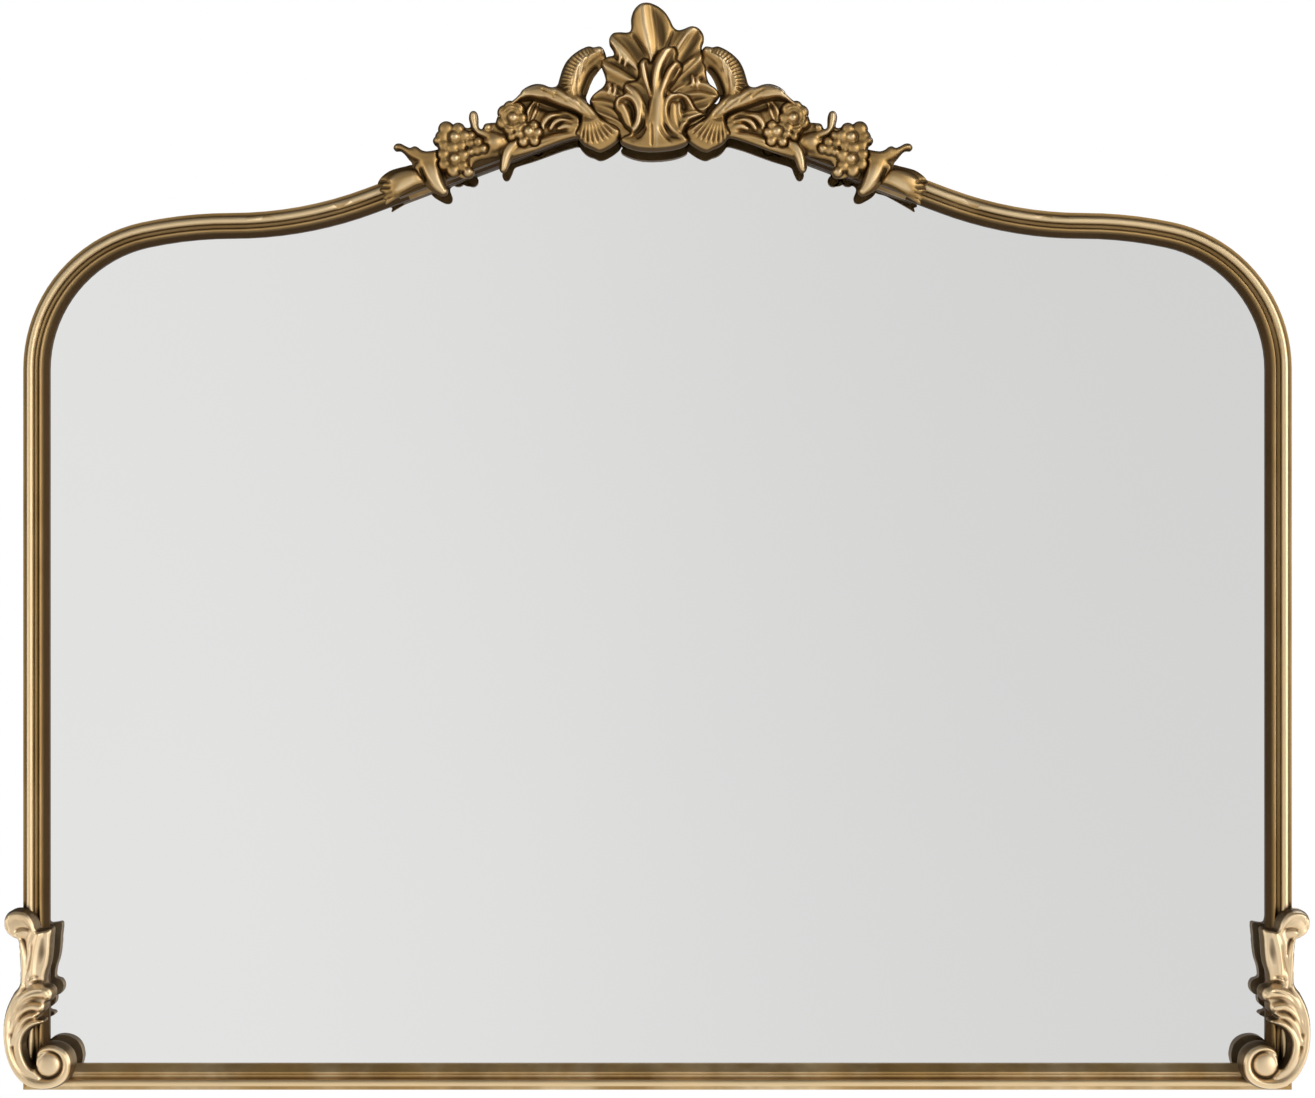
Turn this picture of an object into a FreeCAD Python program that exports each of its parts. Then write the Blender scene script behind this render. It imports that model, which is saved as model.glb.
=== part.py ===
import FreeCAD, Part
import math
import os
from types import SimpleNamespace

import Sketcher
from FreeCAD import Placement, Rotation, Vector

# Arched wall mirror with a carved crest, in millimetres.
# Front faces -Y, the wall is the plane y = 0, +Z is up, and the origin lies on the wall
# midway between the pivots of the two hanging rings.

doc = FreeCAD.newDocument("arched_wall_mirror")

# Driving dimensions

SIZES = {
    # Outer edge of the frame, from the foot of the upright to the middle of the crown
    "frame_width": 888,
    "stile_height": 504.5,
    "shoulder_radius": 105,
    "shoulder_turn": 78,
    "ease_radius": 300,
    "sweep_radius": 268,
    "sweep_turn": 20.6,
    "crown_radius": 216,
    "joint_set_in": 26,
    # Section of the moulding, from its outer edge inwards
    "moulding_width": 17,
    "moulding_depth": 17,
    "lip_width": 2.4,
    "lip_height": 11.5,
    "quirk_width": 0.7,
    "quirk_depth": 0.8,
    "bead_width": 5.2,
    "bead_rise": 2.4,
    "cove_width": 2.8,
    "cove_dip": 1.1,
    "inner_bead_width": 2.3,
    "inner_bead_rise": 1.0,
    "inner_shoulder": 12.6,
    "inner_foot": 7,
    "rabbet_width": 6,
    # Glass, mastic and backing board
    "glass_thickness": 4,
    "glass_clearance": 1,
    "mastic_thickness": 1,
    "mastic_width": 14,
    "mastic_length": 420,
    "mastic_spacing": 120,
    "mastic_count": 7,
    "board_thickness": 9,
    "board_inset": 1,
    # Dowels
    "crown_dowel_radius": 2.5,
    "crown_dowel_length": 24,
    "mitre_dowel_radius": 2,
    "mitre_dowel_length": 14,
    "dowel_depth": 8,
    # Screws
    "screw_inset": 6,
    "screw_radius": 1.6,
    "screw_head_radius": 2.8,
    "screw_head_height": 1.8,
    "backing_screw_length": 19,
    "ornament_screw_length": 21,
    "hanger_screw_length": 8,
    "hanger_head_radius": 3.2,
    "hanger_head_height": 1.6,
    # Hangers
    "hang_height": 430,
    "hanger_spacing": 600,
    "strap_width": 12,
    "strap_thickness": 1.2,
    "strap_tail": 27,
    "strap_knuckle_drop": 6,
    "strap_screw_drop": 10.5,
    "strap_screw_pitch": 11,
    "ring_wire_radius": 1.5,
    "ring_clearance": 0.1,
    "ring_width": 23,
    "ring_length": 38,
    "ring_corner_radius": 4,
    # Wall bumpers
    "bumper_height": 7,
    "bumper_radius": 8,
    "bumper_tip_radius": 6.5,
    "bumper_inset": 40,
    "bumper_rise": 40,
    # Crest and corner ornaments
    "ornament_seat": 3,
    "crest_height": 103.3,
    "crest_base_thickness": 8,
    "crest_base_inset": 1,
    "crest_end_set_in": 20,
    "shell_rise": 9,
    "acanthus_rise": 15,
    "bird_rise": 11,
    "flower_rise": 9,
    "leaf_rise": 7,
    "corner_height": 126.3,
    "corner_rise": 15,
    # Play that every cut takes past the face it goes through
    "overrun": 2,
}

sheet = doc.addObject("Spreadsheet::Sheet", "Sizes")
for row, (alias, number) in enumerate(SIZES.items(), start=1):
    sheet.set(f"A{row}", alias)
    sheet.set(f"B{row}", str(number))
    sheet.setAlias(f"B{row}", alias)
doc.recompute()


class Size:
    """A length that knows both its value and the sheet formula that gives it."""

    def __init__(self, value, text):
        self.value = float(value)
        self.text = text

    def __add__(self, other):
        return combine(self, other, "+", lambda a, b: a + b)

    def __radd__(self, other):
        return combine(other, self, "+", lambda a, b: a + b)

    def __sub__(self, other):
        return combine(self, other, "-", lambda a, b: a - b)

    def __rsub__(self, other):
        return combine(other, self, "-", lambda a, b: a - b)

    def __mul__(self, other):
        return combine(self, other, "*", lambda a, b: a * b)

    def __rmul__(self, other):
        return combine(other, self, "*", lambda a, b: a * b)

    def __truediv__(self, other):
        return combine(self, other, "/", lambda a, b: a / b)

    def __neg__(self):
        return Size(-self.value, f"(-{self.text})")


def as_size(number):
    return number if isinstance(number, Size) else Size(number, f"{number}")


def combine(left, right, sign, work):
    left = as_size(left)
    right = as_size(right)
    return Size(work(left.value, right.value), f"({left.text} {sign} {right.text})")


def sine(turn):
    return Size(math.sin(math.radians(turn.value)), f"sin({turn.text} * 1 deg)")


def cosine(turn):
    return Size(math.cos(math.radians(turn.value)), f"cos({turn.text} * 1 deg)")


size = SimpleNamespace(**{alias: Size(number, f"Sizes.{alias}") for alias, number in SIZES.items()})
RIGHT = 1
LEFT = -1
SIDES = {"left": LEFT, "right": RIGHT}

# Levels across the depth, measured from the wall towards the viewer

back_level = size.bumper_height
moulding_level = back_level + size.board_thickness
rabbet_depth = size.glass_thickness + size.mastic_thickness
front_level = moulding_level + size.moulding_depth
seat_level = front_level - size.ornament_seat
crest_level = seat_level + size.crest_base_thickness

# Outline of the frame: the right half, at any inset from the outer edge

half_width = size.frame_width / 2
shoulder_x = half_width - size.shoulder_radius
ease_x = shoulder_x + (size.shoulder_radius - size.ease_radius) * cosine(size.shoulder_turn)
ease_z = size.stile_height + (size.shoulder_radius - size.ease_radius) * sine(size.shoulder_turn)
sweep_z = ease_z + size.ease_radius + size.sweep_radius
slope_sine = sine(size.sweep_turn)
slope_cosine = cosine(size.sweep_turn)
slope_start_x = ease_x - size.sweep_radius * slope_sine
slope_run = slope_start_x - size.crown_radius * slope_sine
slope_start_z = sweep_z - size.sweep_radius * slope_cosine
crown_z = slope_start_z + slope_run * slope_sine / slope_cosine - size.crown_radius * slope_cosine
crown_top = crown_z + size.crown_radius


def foot_corner(inset):
    return half_width - inset, as_size(inset)


def shoulder_start(inset):
    return half_width - inset, size.stile_height


def shoulder_end(inset):
    reach = size.shoulder_radius - inset
    return shoulder_x + reach * cosine(size.shoulder_turn), size.stile_height + reach * sine(size.shoulder_turn)


def shoulder_top(inset):
    return ease_x, ease_z + size.ease_radius - inset


def slope_foot(inset):
    reach = size.sweep_radius + inset
    return ease_x - reach * slope_sine, sweep_z - reach * slope_cosine


def slope_point(inset, distance):
    foot_x, foot_z = slope_foot(inset)
    return foot_x - distance * slope_cosine, foot_z + distance * slope_sine


def crown_start(inset):
    reach = size.crown_radius - inset
    return reach * slope_sine, crown_z + reach * slope_cosine


def crown_middle(inset):
    return as_size(0), crown_top - inset


# Helpers for sketches and bodies

def new_body(label, depth=None):
    body = doc.addObject("PartDesign::Body", label)
    body.Label = label
    if depth is not None:
        body.setExpression("Placement.Base.y", f"-{depth.text}")
    body.setExpression("Placement.Base.z", f"-{size.hang_height.text}")
    return body


def new_sketch(body, name, role):
    sketch = body.newObject("Sketcher::SketchObject", f"{body.Name}_{name}")
    plane = next(item for item in body.Origin.OriginFeatures if item.Role == role)
    sketch.AttachmentSupport = [(plane, "")]
    sketch.MapMode = "FlatFace"
    return sketch


def bind(sketch, kind, *rest):
    *places, amount = rest
    index = sketch.addConstraint(Sketcher.Constraint(kind, *places, amount.value))
    sketch.setExpression(f"Constraints[{index}]", amount.text)


def line_to(x, z):
    return SimpleNamespace(x=as_size(x), z=as_size(z), radius=None, turns_left=True)


def arc_to(point, radius, turns_left):
    return SimpleNamespace(x=as_size(point[0]), z=as_size(point[1]), radius=as_size(radius), turns_left=turns_left)


def arc_geometry(start, end, radius, turns_left):
    chord = end - start
    outward = Vector(chord.y, -chord.x, 0).normalize()
    rise = radius - math.sqrt(radius ** 2 - chord.Length ** 2 / 4)
    middle = (start + end) / 2 + outward * (rise if turns_left else -rise)
    return Part.Arc(start, middle, end)


def draw(sketch, start, steps, closed=False):
    """Lines and arcs from point to point, every point and radius bound to the sheet."""
    points = [line_to(*start)] + steps
    ends = []
    for here, there in zip(points, points[1:]):
        first = Vector(here.x.value, here.z.value, 0)
        last = Vector(there.x.value, there.z.value, 0)
        if there.radius is None:
            edge = sketch.addGeometry(Part.LineSegment(first, last))
            ends.append((edge, 1, 2))
        else:
            edge = sketch.addGeometry(arc_geometry(first, last, there.radius.value, there.turns_left))
            ends.append((edge, 1, 2) if there.turns_left else (edge, 2, 1))
    followers = ends[1:] + (ends[:1] if closed else [])
    for (edge, _, tail), (after, head, _) in zip(ends, followers):
        sketch.addConstraint(Sketcher.Constraint("Coincident", edge, tail, after, head))
    for point, (edge, head, _) in zip(points, ends):
        bind(sketch, "DistanceX", -1, 1, edge, head, point.x)
        bind(sketch, "DistanceY", -1, 1, edge, head, point.z)
    if not closed:
        edge, _, tail = ends[-1]
        bind(sketch, "DistanceX", -1, 1, edge, tail, points[-1].x)
        bind(sketch, "DistanceY", -1, 1, edge, tail, points[-1].z)
    for point, (edge, _, _) in zip(points[1:], ends):
        if point.radius is not None:
            bind(sketch, "Radius", edge, point.radius)
    doc.recompute()


def circle(sketch, x, z, radius):
    centre = Vector(as_size(x).value, as_size(z).value, 0)
    edge = sketch.addGeometry(Part.Circle(centre, Vector(0, 0, 1), radius.value))
    bind(sketch, "DistanceX", -1, 1, edge, 3, as_size(x))
    bind(sketch, "DistanceY", -1, 1, edge, 3, as_size(z))
    bind(sketch, "Radius", edge, radius)


def pad(body, sketch, length, midplane=False):
    feature = body.newObject("PartDesign::Pad", f"{body.Name}_pad")
    feature.Profile = sketch
    feature.setExpression("Length", length.text)
    feature.Midplane = midplane
    body.Tip = feature
    doc.recompute()
    return feature


def pocket_through(body, sketch):
    feature = body.newObject("PartDesign::Pocket", f"{body.Name}_pocket")
    feature.Profile = sketch
    feature.Type = "ThroughAll"
    feature.Midplane = True
    body.Tip = feature
    doc.recompute()


def pipe(body, profile, path, edges):
    feature = body.newObject("PartDesign::AdditivePipe", f"{body.Name}_sweep")
    feature.Profile = profile
    feature.Spine = (path, [f"Edge{number}" for number in range(1, edges + 1)])
    body.Tip = feature
    doc.recompute()
    return feature


def cut_away(label, base, tools):
    """The base with every tool cut out of it, as a new sub-part."""
    tool = tools[0]
    if len(tools) > 1:
        tool = doc.addObject("Part::Compound", f"{label}_tools")
        tool.Links = tools
    cut = doc.addObject("Part::Cut", label)
    cut.Base = base
    cut.Tool = tool
    base.Label = f"{label}_blank"
    cut.Label = label
    doc.recompute()
    return cut


def group(label, members):
    together = doc.addObject("Part::Compound", label)
    together.Label = label
    together.Links = members
    doc.recompute()
    return together


def place(item, x, depth, z):
    item.setExpression("Placement.Base.x", as_size(x).text)
    item.setExpression("Placement.Base.y", f"-{as_size(depth).text}")
    item.setExpression("Placement.Base.z", f"{as_size(z).text} - {size.hang_height.text}")


# Frame moulding

def bulge_radius(width, rise, fall=None):
    chord_squared = width * width if fall is None else width * width + fall * fall
    return (chord_squared / 4 + rise * rise) / (rise * 2)


def moulding_section(sketch, at):
    """Section of the moulding; at() turns inset and height into sketch coordinates."""
    bead_shoulder = size.moulding_depth - size.bead_rise
    bead_start = size.lip_width + size.quirk_width
    bead_end = bead_start + size.bead_width
    inner_start = bead_end + size.cove_width
    inner_end = inner_start + size.inner_bead_width
    rabbet_start = size.moulding_width - size.rabbet_width
    bead_radius = bulge_radius(size.bead_width, size.bead_rise)
    cove_radius = bulge_radius(size.cove_width, size.cove_dip, bead_shoulder - size.inner_shoulder)
    inner_radius = bulge_radius(size.inner_bead_width, size.inner_bead_rise)
    start, up = at(as_size(0), as_size(0)), at(as_size(0), as_size(1))
    across = at(as_size(1), as_size(0))
    run_x, run_y = across[0].value - start[0].value, across[1].value - start[1].value
    rise_x, rise_y = up[0].value - start[0].value, up[1].value - start[1].value
    bulges_left = run_x * rise_y - run_y * rise_x > 0
    draw(sketch, start, [
        line_to(*at(as_size(0), size.lip_height)),
        line_to(*at(size.lip_width, size.lip_height)),
        line_to(*at(bead_start, size.lip_height - size.quirk_depth)),
        line_to(*at(bead_start, bead_shoulder)),
        arc_to(at(bead_end, bead_shoulder), bead_radius, not bulges_left),
        arc_to(at(inner_start, size.inner_shoulder), cove_radius, bulges_left),
        arc_to(at(inner_end, size.inner_shoulder), inner_radius, not bulges_left),
        line_to(*at(size.moulding_width, size.inner_foot)),
        line_to(*at(size.moulding_width, rabbet_depth)),
        line_to(*at(rabbet_start, rabbet_depth)),
        line_to(*at(rabbet_start, as_size(0))),
        line_to(*start),
    ], closed=True)


def mitre_waste(side, above):
    """Corner triangle on one side of the mitre line."""
    outer = side * (half_width + size.overrun)
    inner = side * (half_width - size.moulding_width - size.overrun)
    low = -size.overrun
    high = size.moulding_width + size.overrun
    square_corner = (outer, high) if above else (inner, low)
    return (outer, low), [line_to(*square_corner), line_to(inner, high), line_to(outer, low)]


def make_bottom_rail():
    body = new_body("bottom_rail", moulding_level)
    section = new_sketch(body, "section", "YZ_Plane")
    moulding_section(section, lambda inset, height: (-height, inset))
    pad(body, section, size.frame_width, midplane=True)
    for name, side in SIDES.items():
        waste = new_sketch(body, f"{name}_mitre", "XZ_Plane")
        start, steps = mitre_waste(side, above=True)
        draw(waste, start, steps, closed=True)
        pocket_through(body, waste)
    return body


def make_upright(name, side):
    body = new_body(f"{name}_upright", moulding_level)
    path = new_sketch(body, "path", "XZ_Plane")

    def on_side(point):
        return side * point[0], point[1]

    left_turn = side == RIGHT
    draw(path, (side * half_width, as_size(0)), [
        line_to(*on_side(shoulder_start(0))),
        arc_to(on_side(shoulder_end(0)), size.shoulder_radius, left_turn),
        arc_to(on_side(shoulder_top(0)), size.ease_radius, left_turn),
        arc_to(on_side(slope_foot(0)), size.sweep_radius, not left_turn),
        line_to(*on_side(slope_point(0, size.joint_set_in))),
    ])
    section = new_sketch(body, "section", "XY_Plane")
    moulding_section(section, lambda inset, height: (side * (half_width - inset), -height))
    pipe(body, section, path, edges=5)
    waste = new_sketch(body, "mitre", "XZ_Plane")
    start, steps = mitre_waste(side, above=False)
    draw(waste, start, steps, closed=True)
    pocket_through(body, waste)
    return body


def make_crown_rail():
    body = new_body("crown_rail", moulding_level)
    path = new_sketch(body, "path", "XZ_Plane")
    draw(path, crown_middle(0), [
        arc_to(crown_start(0), size.crown_radius, False),
        line_to(*slope_point(0, size.joint_set_in)),
    ])
    section = new_sketch(body, "section", "YZ_Plane")
    moulding_section(section, lambda inset, height: (-height, crown_top - inset))
    sweep = pipe(body, section, path, edges=2)
    mirrored = body.newObject("PartDesign::Mirrored", "crown_rail_mirror")
    mirrored.Originals = [sweep]
    plane = next(item for item in body.Origin.OriginFeatures if item.Role == "YZ_Plane")
    mirrored.MirrorPlane = (plane, [""])
    body.Tip = mirrored
    doc.recompute()
    return body


# Dowels in the crown joints and the mitres

def make_dowel(name, radius, length, centre, lean):
    """A dowel centred on a joint, leaning from upright about the depth axis."""
    dowel = doc.addObject("Part::Cylinder", name)
    dowel.setExpression("Radius", radius.text)
    dowel.setExpression("Height", length.text)
    dowel.Placement = Placement(Vector(), Rotation(Vector(0, 1, 0), lean.value))
    dowel.setExpression("Placement.Rotation.Angle", lean.text)
    place(dowel, centre[0] - length / 2 * sine(lean), moulding_level + size.dowel_depth,
          centre[1] - length / 2 * cosine(lean))
    return dowel


def make_dowels():
    crown = []
    mitre = []
    middle = size.moulding_width / 2
    for name, side in SIDES.items():
        joint_x, joint_z = slope_point(size.screw_inset, size.joint_set_in)
        crown.append(make_dowel(f"{name}_crown_dowel", size.crown_dowel_radius, size.crown_dowel_length,
                                (side * joint_x, joint_z), side * (size.sweep_turn - 90)))
        mitre.append(make_dowel(f"{name}_mitre_dowel", size.mitre_dowel_radius, size.mitre_dowel_length,
                                (side * (half_width - middle), middle), Size(45 * side, f"{45 * side}")))
    return crown, mitre


# Screws

def screw_solid(x, z, head_depth, length):
    """A countersunk screw with its head's face at head_depth, driven towards the viewer."""
    head = Part.makeCone(size.screw_head_radius.value, size.screw_radius.value, size.screw_head_height.value)
    shank = Part.makeCylinder(size.screw_radius.value, length.value)
    solid = head.fuse(shank).removeSplitter()
    solid.Placement = Placement(Vector(x.value, -head_depth.value, z.value - size.hang_height.value),
                                Rotation(Vector(1, 0, 0), 90))
    return solid


def feature(label, shape):
    item = doc.addObject("Part::Feature", label)
    item.Label = label
    item.Shape = shape
    item.Placement = Placement()
    return item


BOTTOM_SCREW_SHARES = (0.14, 0.45, 0.77)
STILE_SCREW_SHARES = (0.30, 0.55, 0.80)
SHOULDER_SCREW_SHARE = 0.55
SWEEP_SCREW_SHARE = 0.5
CROWN_BACKING_SHARE = 0.5
CREST_ARC_SCREW_SHARE = 0.6
CREST_SLOPE_SCREW_SHARE = 0.45
CORNER_STILE_SCREW_SHARE = 0.74
CORNER_RAIL_SCREW_SHARE = 0.15


def backing_screw_points():
    inset = size.screw_inset
    points = []
    for side in SIDES.values():
        points += [(side * half_width * share, inset) for share in BOTTOM_SCREW_SHARES]
        points += [(side * (half_width - inset), size.stile_height * share) for share in STILE_SCREW_SHARES]
        bend = size.shoulder_turn * SHOULDER_SCREW_SHARE
        reach = size.shoulder_radius - inset
        points.append((side * (shoulder_x + reach * cosine(bend)), size.stile_height + reach * sine(bend)))
        swing = size.sweep_turn * SWEEP_SCREW_SHARE
        reach = size.sweep_radius + inset
        points.append((side * (ease_x - reach * sine(swing)), sweep_z - reach * cosine(swing)))
        crown_x, crown_screw_z = slope_point(inset, slope_run / slope_cosine * CROWN_BACKING_SHARE)
        points.append((side * crown_x, crown_screw_z))
    points.append(crown_middle(inset))
    return points


def ornament_screw_points():
    inset = size.screw_inset
    points = []
    for side in SIDES.values():
        bend = size.sweep_turn * CREST_ARC_SCREW_SHARE
        reach = size.crown_radius - inset
        points.append((side * reach * sine(bend), crown_z + reach * cosine(bend)))
        slope_length = slope_run / slope_cosine
        straight = size.joint_set_in + (slope_length - size.joint_set_in) * CREST_SLOPE_SCREW_SHARE
        crest_x, crest_z = slope_point(inset, straight)
        points.append((side * crest_x, crest_z))
        points.append((side * (half_width - inset), size.corner_height * CORNER_STILE_SCREW_SHARE))
        points.append((side * (half_width - size.corner_height * CORNER_RAIL_SCREW_SHARE), inset))
    return points


def make_screw_group(label, points, head_depth, length):
    screws = [screw_solid(as_size(x), as_size(z), head_depth, length) for x, z in points]
    return feature(label, Part.makeCompound(screws))


# Glass, mastic and backing board

def full_outline(sketch, inset):
    """The whole frame outline at an inset, as one closed loop."""
    right = [
        line_to(*shoulder_start(inset)),
        arc_to(shoulder_end(inset), size.shoulder_radius - inset, True),
        arc_to(shoulder_top(inset), size.ease_radius - inset, True),
        arc_to(slope_foot(inset), size.sweep_radius + inset, False),
        line_to(*crown_start(inset)),
    ]

    def mirrored(point):
        return -point[0], point[1]

    left = [
        arc_to(mirrored(crown_start(inset)), size.crown_radius - inset, True),
        line_to(*mirrored(slope_foot(inset))),
        arc_to(mirrored(shoulder_top(inset)), size.sweep_radius + inset, False),
        arc_to(mirrored(shoulder_end(inset)), size.ease_radius - inset, True),
        arc_to(mirrored(shoulder_start(inset)), size.shoulder_radius - inset, True),
        line_to(*mirrored(foot_corner(inset))),
        line_to(*foot_corner(inset)),
    ]
    draw(sketch, foot_corner(inset), right + left, closed=True)


def make_panel(label, inset, back, thickness):
    body = new_body(label, back)
    outline = new_sketch(body, "outline", "XZ_Plane")
    full_outline(outline, inset)
    pad(body, outline, thickness)
    return body


def make_mastic():
    beads = []
    first = (size.mastic_count - 1) / 2
    for number in range(int(size.mastic_count.value)):
        bead = doc.addObject("Part::Box", f"mastic_bead_{number + 1}")
        bead.setExpression("Length", size.mastic_width.text)
        bead.setExpression("Width", size.mastic_thickness.text)
        bead.setExpression("Height", size.mastic_length.text)
        place(bead, (number - first) * size.mastic_spacing - size.mastic_width / 2,
              moulding_level + size.mastic_thickness, (size.stile_height - size.mastic_length) / 2)
        beads.append(bead)
    return group("mirror_mastic", beads)


# Hangers and bumpers

knuckle_bore = size.ring_wire_radius + size.ring_clearance
knuckle_radius = knuckle_bore + size.strap_thickness
strap_stack = size.strap_thickness * 2
pivot_depth = back_level - knuckle_radius


def hanger_place(item, side):
    item.setExpression("Placement.Base.x", (side * size.hanger_spacing / 2).text)
    item.setExpression("Placement.Base.y", f"-{pivot_depth.text}")
    item.setExpression("Placement.Base.z", "0")


def make_strap(name, side):
    body = new_body(f"{name}_hanger_strap")
    hanger_place(body, side)
    section = new_sketch(body, "section", "YZ_Plane")
    leaf = strap_stack - knuckle_radius
    draw(section, (-knuckle_radius, -size.strap_tail), [
        line_to(leaf, -size.strap_tail),
        line_to(leaf, -size.strap_knuckle_drop),
        line_to(knuckle_radius, as_size(0)),
        arc_to((as_size(0), knuckle_radius), knuckle_radius, True),
        arc_to((-knuckle_radius, as_size(0)), knuckle_radius, True),
        line_to(-knuckle_radius, -size.strap_tail),
    ], closed=True)
    circle(section, 0, 0, knuckle_bore)
    pad(body, section, size.strap_width, midplane=True)
    return body


def make_ring(name, side):
    body = new_body(f"{name}_d_ring")
    hanger_place(body, side)
    half = size.ring_width / 2
    bar = half - size.ring_corner_radius
    arm_foot = half - size.ring_length
    path = new_sketch(body, "path", "XZ_Plane")
    draw(path, (as_size(0), as_size(0)), [
        line_to(bar, as_size(0)),
        arc_to((half, -size.ring_corner_radius), size.ring_corner_radius, False),
        line_to(half, arm_foot),
        arc_to((as_size(0), -size.ring_length), half, False),
        arc_to((-half, arm_foot), half, False),
        line_to(-half, -size.ring_corner_radius),
        arc_to((-bar, as_size(0)), size.ring_corner_radius, False),
        line_to(as_size(0), as_size(0)),
    ], closed=True)
    section = new_sketch(body, "section", "YZ_Plane")
    circle(section, 0, 0, size.ring_wire_radius)
    pipe(body, section, path, edges=8)
    return body


def make_hanger_screws():
    screws = []
    head_depth = back_level - strap_stack
    for side in SIDES.values():
        for step in range(2):
            drop = size.strap_screw_drop + step * size.strap_screw_pitch
            head = Part.makeCylinder(size.hanger_head_radius.value, size.hanger_head_height.value)
            shank = Part.makeCylinder(size.screw_radius.value,
                                      (size.hanger_head_height + size.hanger_screw_length).value)
            screw = head.fuse(shank).removeSplitter()
            screw.Placement = Placement(
                Vector((side * size.hanger_spacing / 2).value, (size.hanger_head_height - head_depth).value,
                       -drop.value),
                Rotation(Vector(1, 0, 0), 90))
            screws.append(screw)
    return feature("hanger_screws", Part.makeCompound(screws))


def make_bumpers():
    bumpers = []
    for name, side in SIDES.items():
        for level, z in (("lower", size.bumper_rise), ("upper", size.stile_height)):
            bumper = doc.addObject("Part::Cone", f"{level}_{name}_bumper")
            bumper.setExpression("Radius1", size.bumper_radius.text)
            bumper.setExpression("Radius2", size.bumper_tip_radius.text)
            bumper.setExpression("Height", size.bumper_height.text)
            bumper.Placement = Placement(Vector(), Rotation(Vector(1, 0, 0), -90))
            place(bumper, side * (half_width - size.bumper_inset), back_level, z)
            bumpers.append(bumper)
    return group("wall_bumpers", bumpers)


# Carved ornaments. Their spines are pixel places in the photograph, each with a half width in pixels.

PHOTO_MIDDLE_X = 657
PHOTO_CROWN_TOP_Y = 99
PHOTO_CREST_PIXELS = 148
PHOTO_CREST_MIDDLE_X = 653
PHOTO_CORNER_X = 20
PHOTO_FOOT_Y = 1091
PHOTO_CORNER_PIXELS = 181

SHELL_PIXELS = [
    [(656, 144, 20), (656, 122, 32), (656, 98, 32), (655, 72, 18)],
    [(655, 80, 8), (652, 56, 15), (652, 30, 21), (650, 12, 17), (649, 4, 8)],
    [(646, 82, 8), (634, 60, 12), (621, 43, 13), (613, 36, 7)],
    [(666, 82, 8), (680, 57, 12), (692, 41, 14), (700, 32, 7)],
    [(640, 98, 9), (622, 76, 13), (606, 67, 8)],
    [(672, 98, 9), (690, 75, 13), (704, 67, 8)],
    [(636, 118, 10), (612, 98, 10), (595, 98, 6)],
    [(676, 118, 10), (700, 96, 10), (717, 95, 6)],
]
ACANTHUS_PIXELS = [
    [(653, 150, 24), (653, 143, 32), (653, 132, 20), (654, 116, 10), (655, 92, 10)],
    [(655, 98, 8), (660, 78, 10), (667, 62, 9), (674, 50, 4)],
    [(652, 98, 6), (648, 76, 8), (646, 61, 4)],
    [(659, 104, 7), (670, 82, 8), (680, 66, 4)],
    [(649, 128, 8), (640, 104, 9), (632, 92, 8), (626, 85, 4)],
    [(661, 128, 8), (670, 108, 8), (681, 100, 8), (690, 109, 4)],
    [(642, 142, 8), (628, 126, 9), (622, 108, 9), (618, 99, 5)],
]
BIRD_PIXELS = [
    [(509, 113, 2), (516, 104, 3), (524, 95, 5), (534, 89, 8), (547, 90, 10), (561, 97, 13), (577, 108, 11),
     (592, 118, 7)],
    [(570, 102, 11), (573, 84, 14), (581, 67, 12), (591, 55, 9), (602, 50, 5)],
    [(590, 112, 6), (595, 127, 12), (598, 140, 19), (599, 149, 18)],
]
LEAF_PIXELS = [
    [(428, 161, 8), (411, 153, 7), (395, 146, 3)],
    [(424, 158, 8), (434, 176, 8), (446, 192, 3)],
    [(486, 144, 8), (477, 130, 6), (473, 119, 5), (474, 111, 4)],
    [(512, 145, 8), (503, 156, 7), (500, 166, 5), (505, 178, 3)],
    [(529, 122, 5), (532, 112, 5), (536, 101, 3)],
    [(580, 127, 9), (560, 119, 10), (546, 119, 8), (540, 124, 4)],
]
END_LEAF_PIXELS = [
    [(424, 165, 14), (406, 178, 17), (392, 188, 14), (384, 193, 8)],
]
CORNER_PIXELS = [
    [(37, 921, 15), (36, 945, 14), (34, 966, 12), (33, 988, 12)],
    [(40, 982, 12), (26, 1000, 15), (17, 1024, 14), (18, 1050, 13), (30, 1072, 12), (47, 1079, 11),
     (60, 1071, 10), (62, 1059, 9), (54, 1055, 8)],
    [(26, 1002, 8), (42, 994, 7), (53, 990, 4)],
    [(22, 1018, 8), (36, 1012, 6), (46, 1010, 4)],
]
FLOWERS = {
    "upper": SimpleNamespace(centre=(453, 137), reach=18, petals=6),
    "lower": SimpleNamespace(centre=(454, 160), reach=15, petals=5),
    "rose": SimpleNamespace(centre=(512, 118), reach=15, petals=5),
    "small": SimpleNamespace(centre=(527, 135), reach=12, petals=5),
    "bud": SimpleNamespace(centre=(493, 140), reach=11, petals=4),
}
CORNER_CURL = SimpleNamespace(centre=(19, 925), reach=15)
CORNER_EYE = SimpleNamespace(centre=(51, 1064), reach=12)
EDGE_SHARE = 0.35
END_RISE_SHARE = 0.6
PETAL_SHARE = 0.42
PETAL_RISE_SHARE = 0.7
HEART_SHARE = 0.36


def on_crest(pixel):
    """A pixel of the crest as x and z of the part."""
    scale = size.crest_height.value / PHOTO_CREST_PIXELS
    x = (pixel[0] - PHOTO_MIDDLE_X) * scale
    z = crown_top.value + (PHOTO_CROWN_TOP_Y - pixel[1]) * scale - size.hang_height.value
    return x, z, scale


def on_left_corner(pixel):
    """A pixel of the lower left corner as x and z of the part."""
    scale = size.corner_height.value / PHOTO_CORNER_PIXELS
    x = (pixel[0] - PHOTO_CORNER_X) * scale - half_width.value
    z = (PHOTO_FOOT_Y - pixel[1]) * scale - size.hang_height.value
    return x, z, scale


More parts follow.
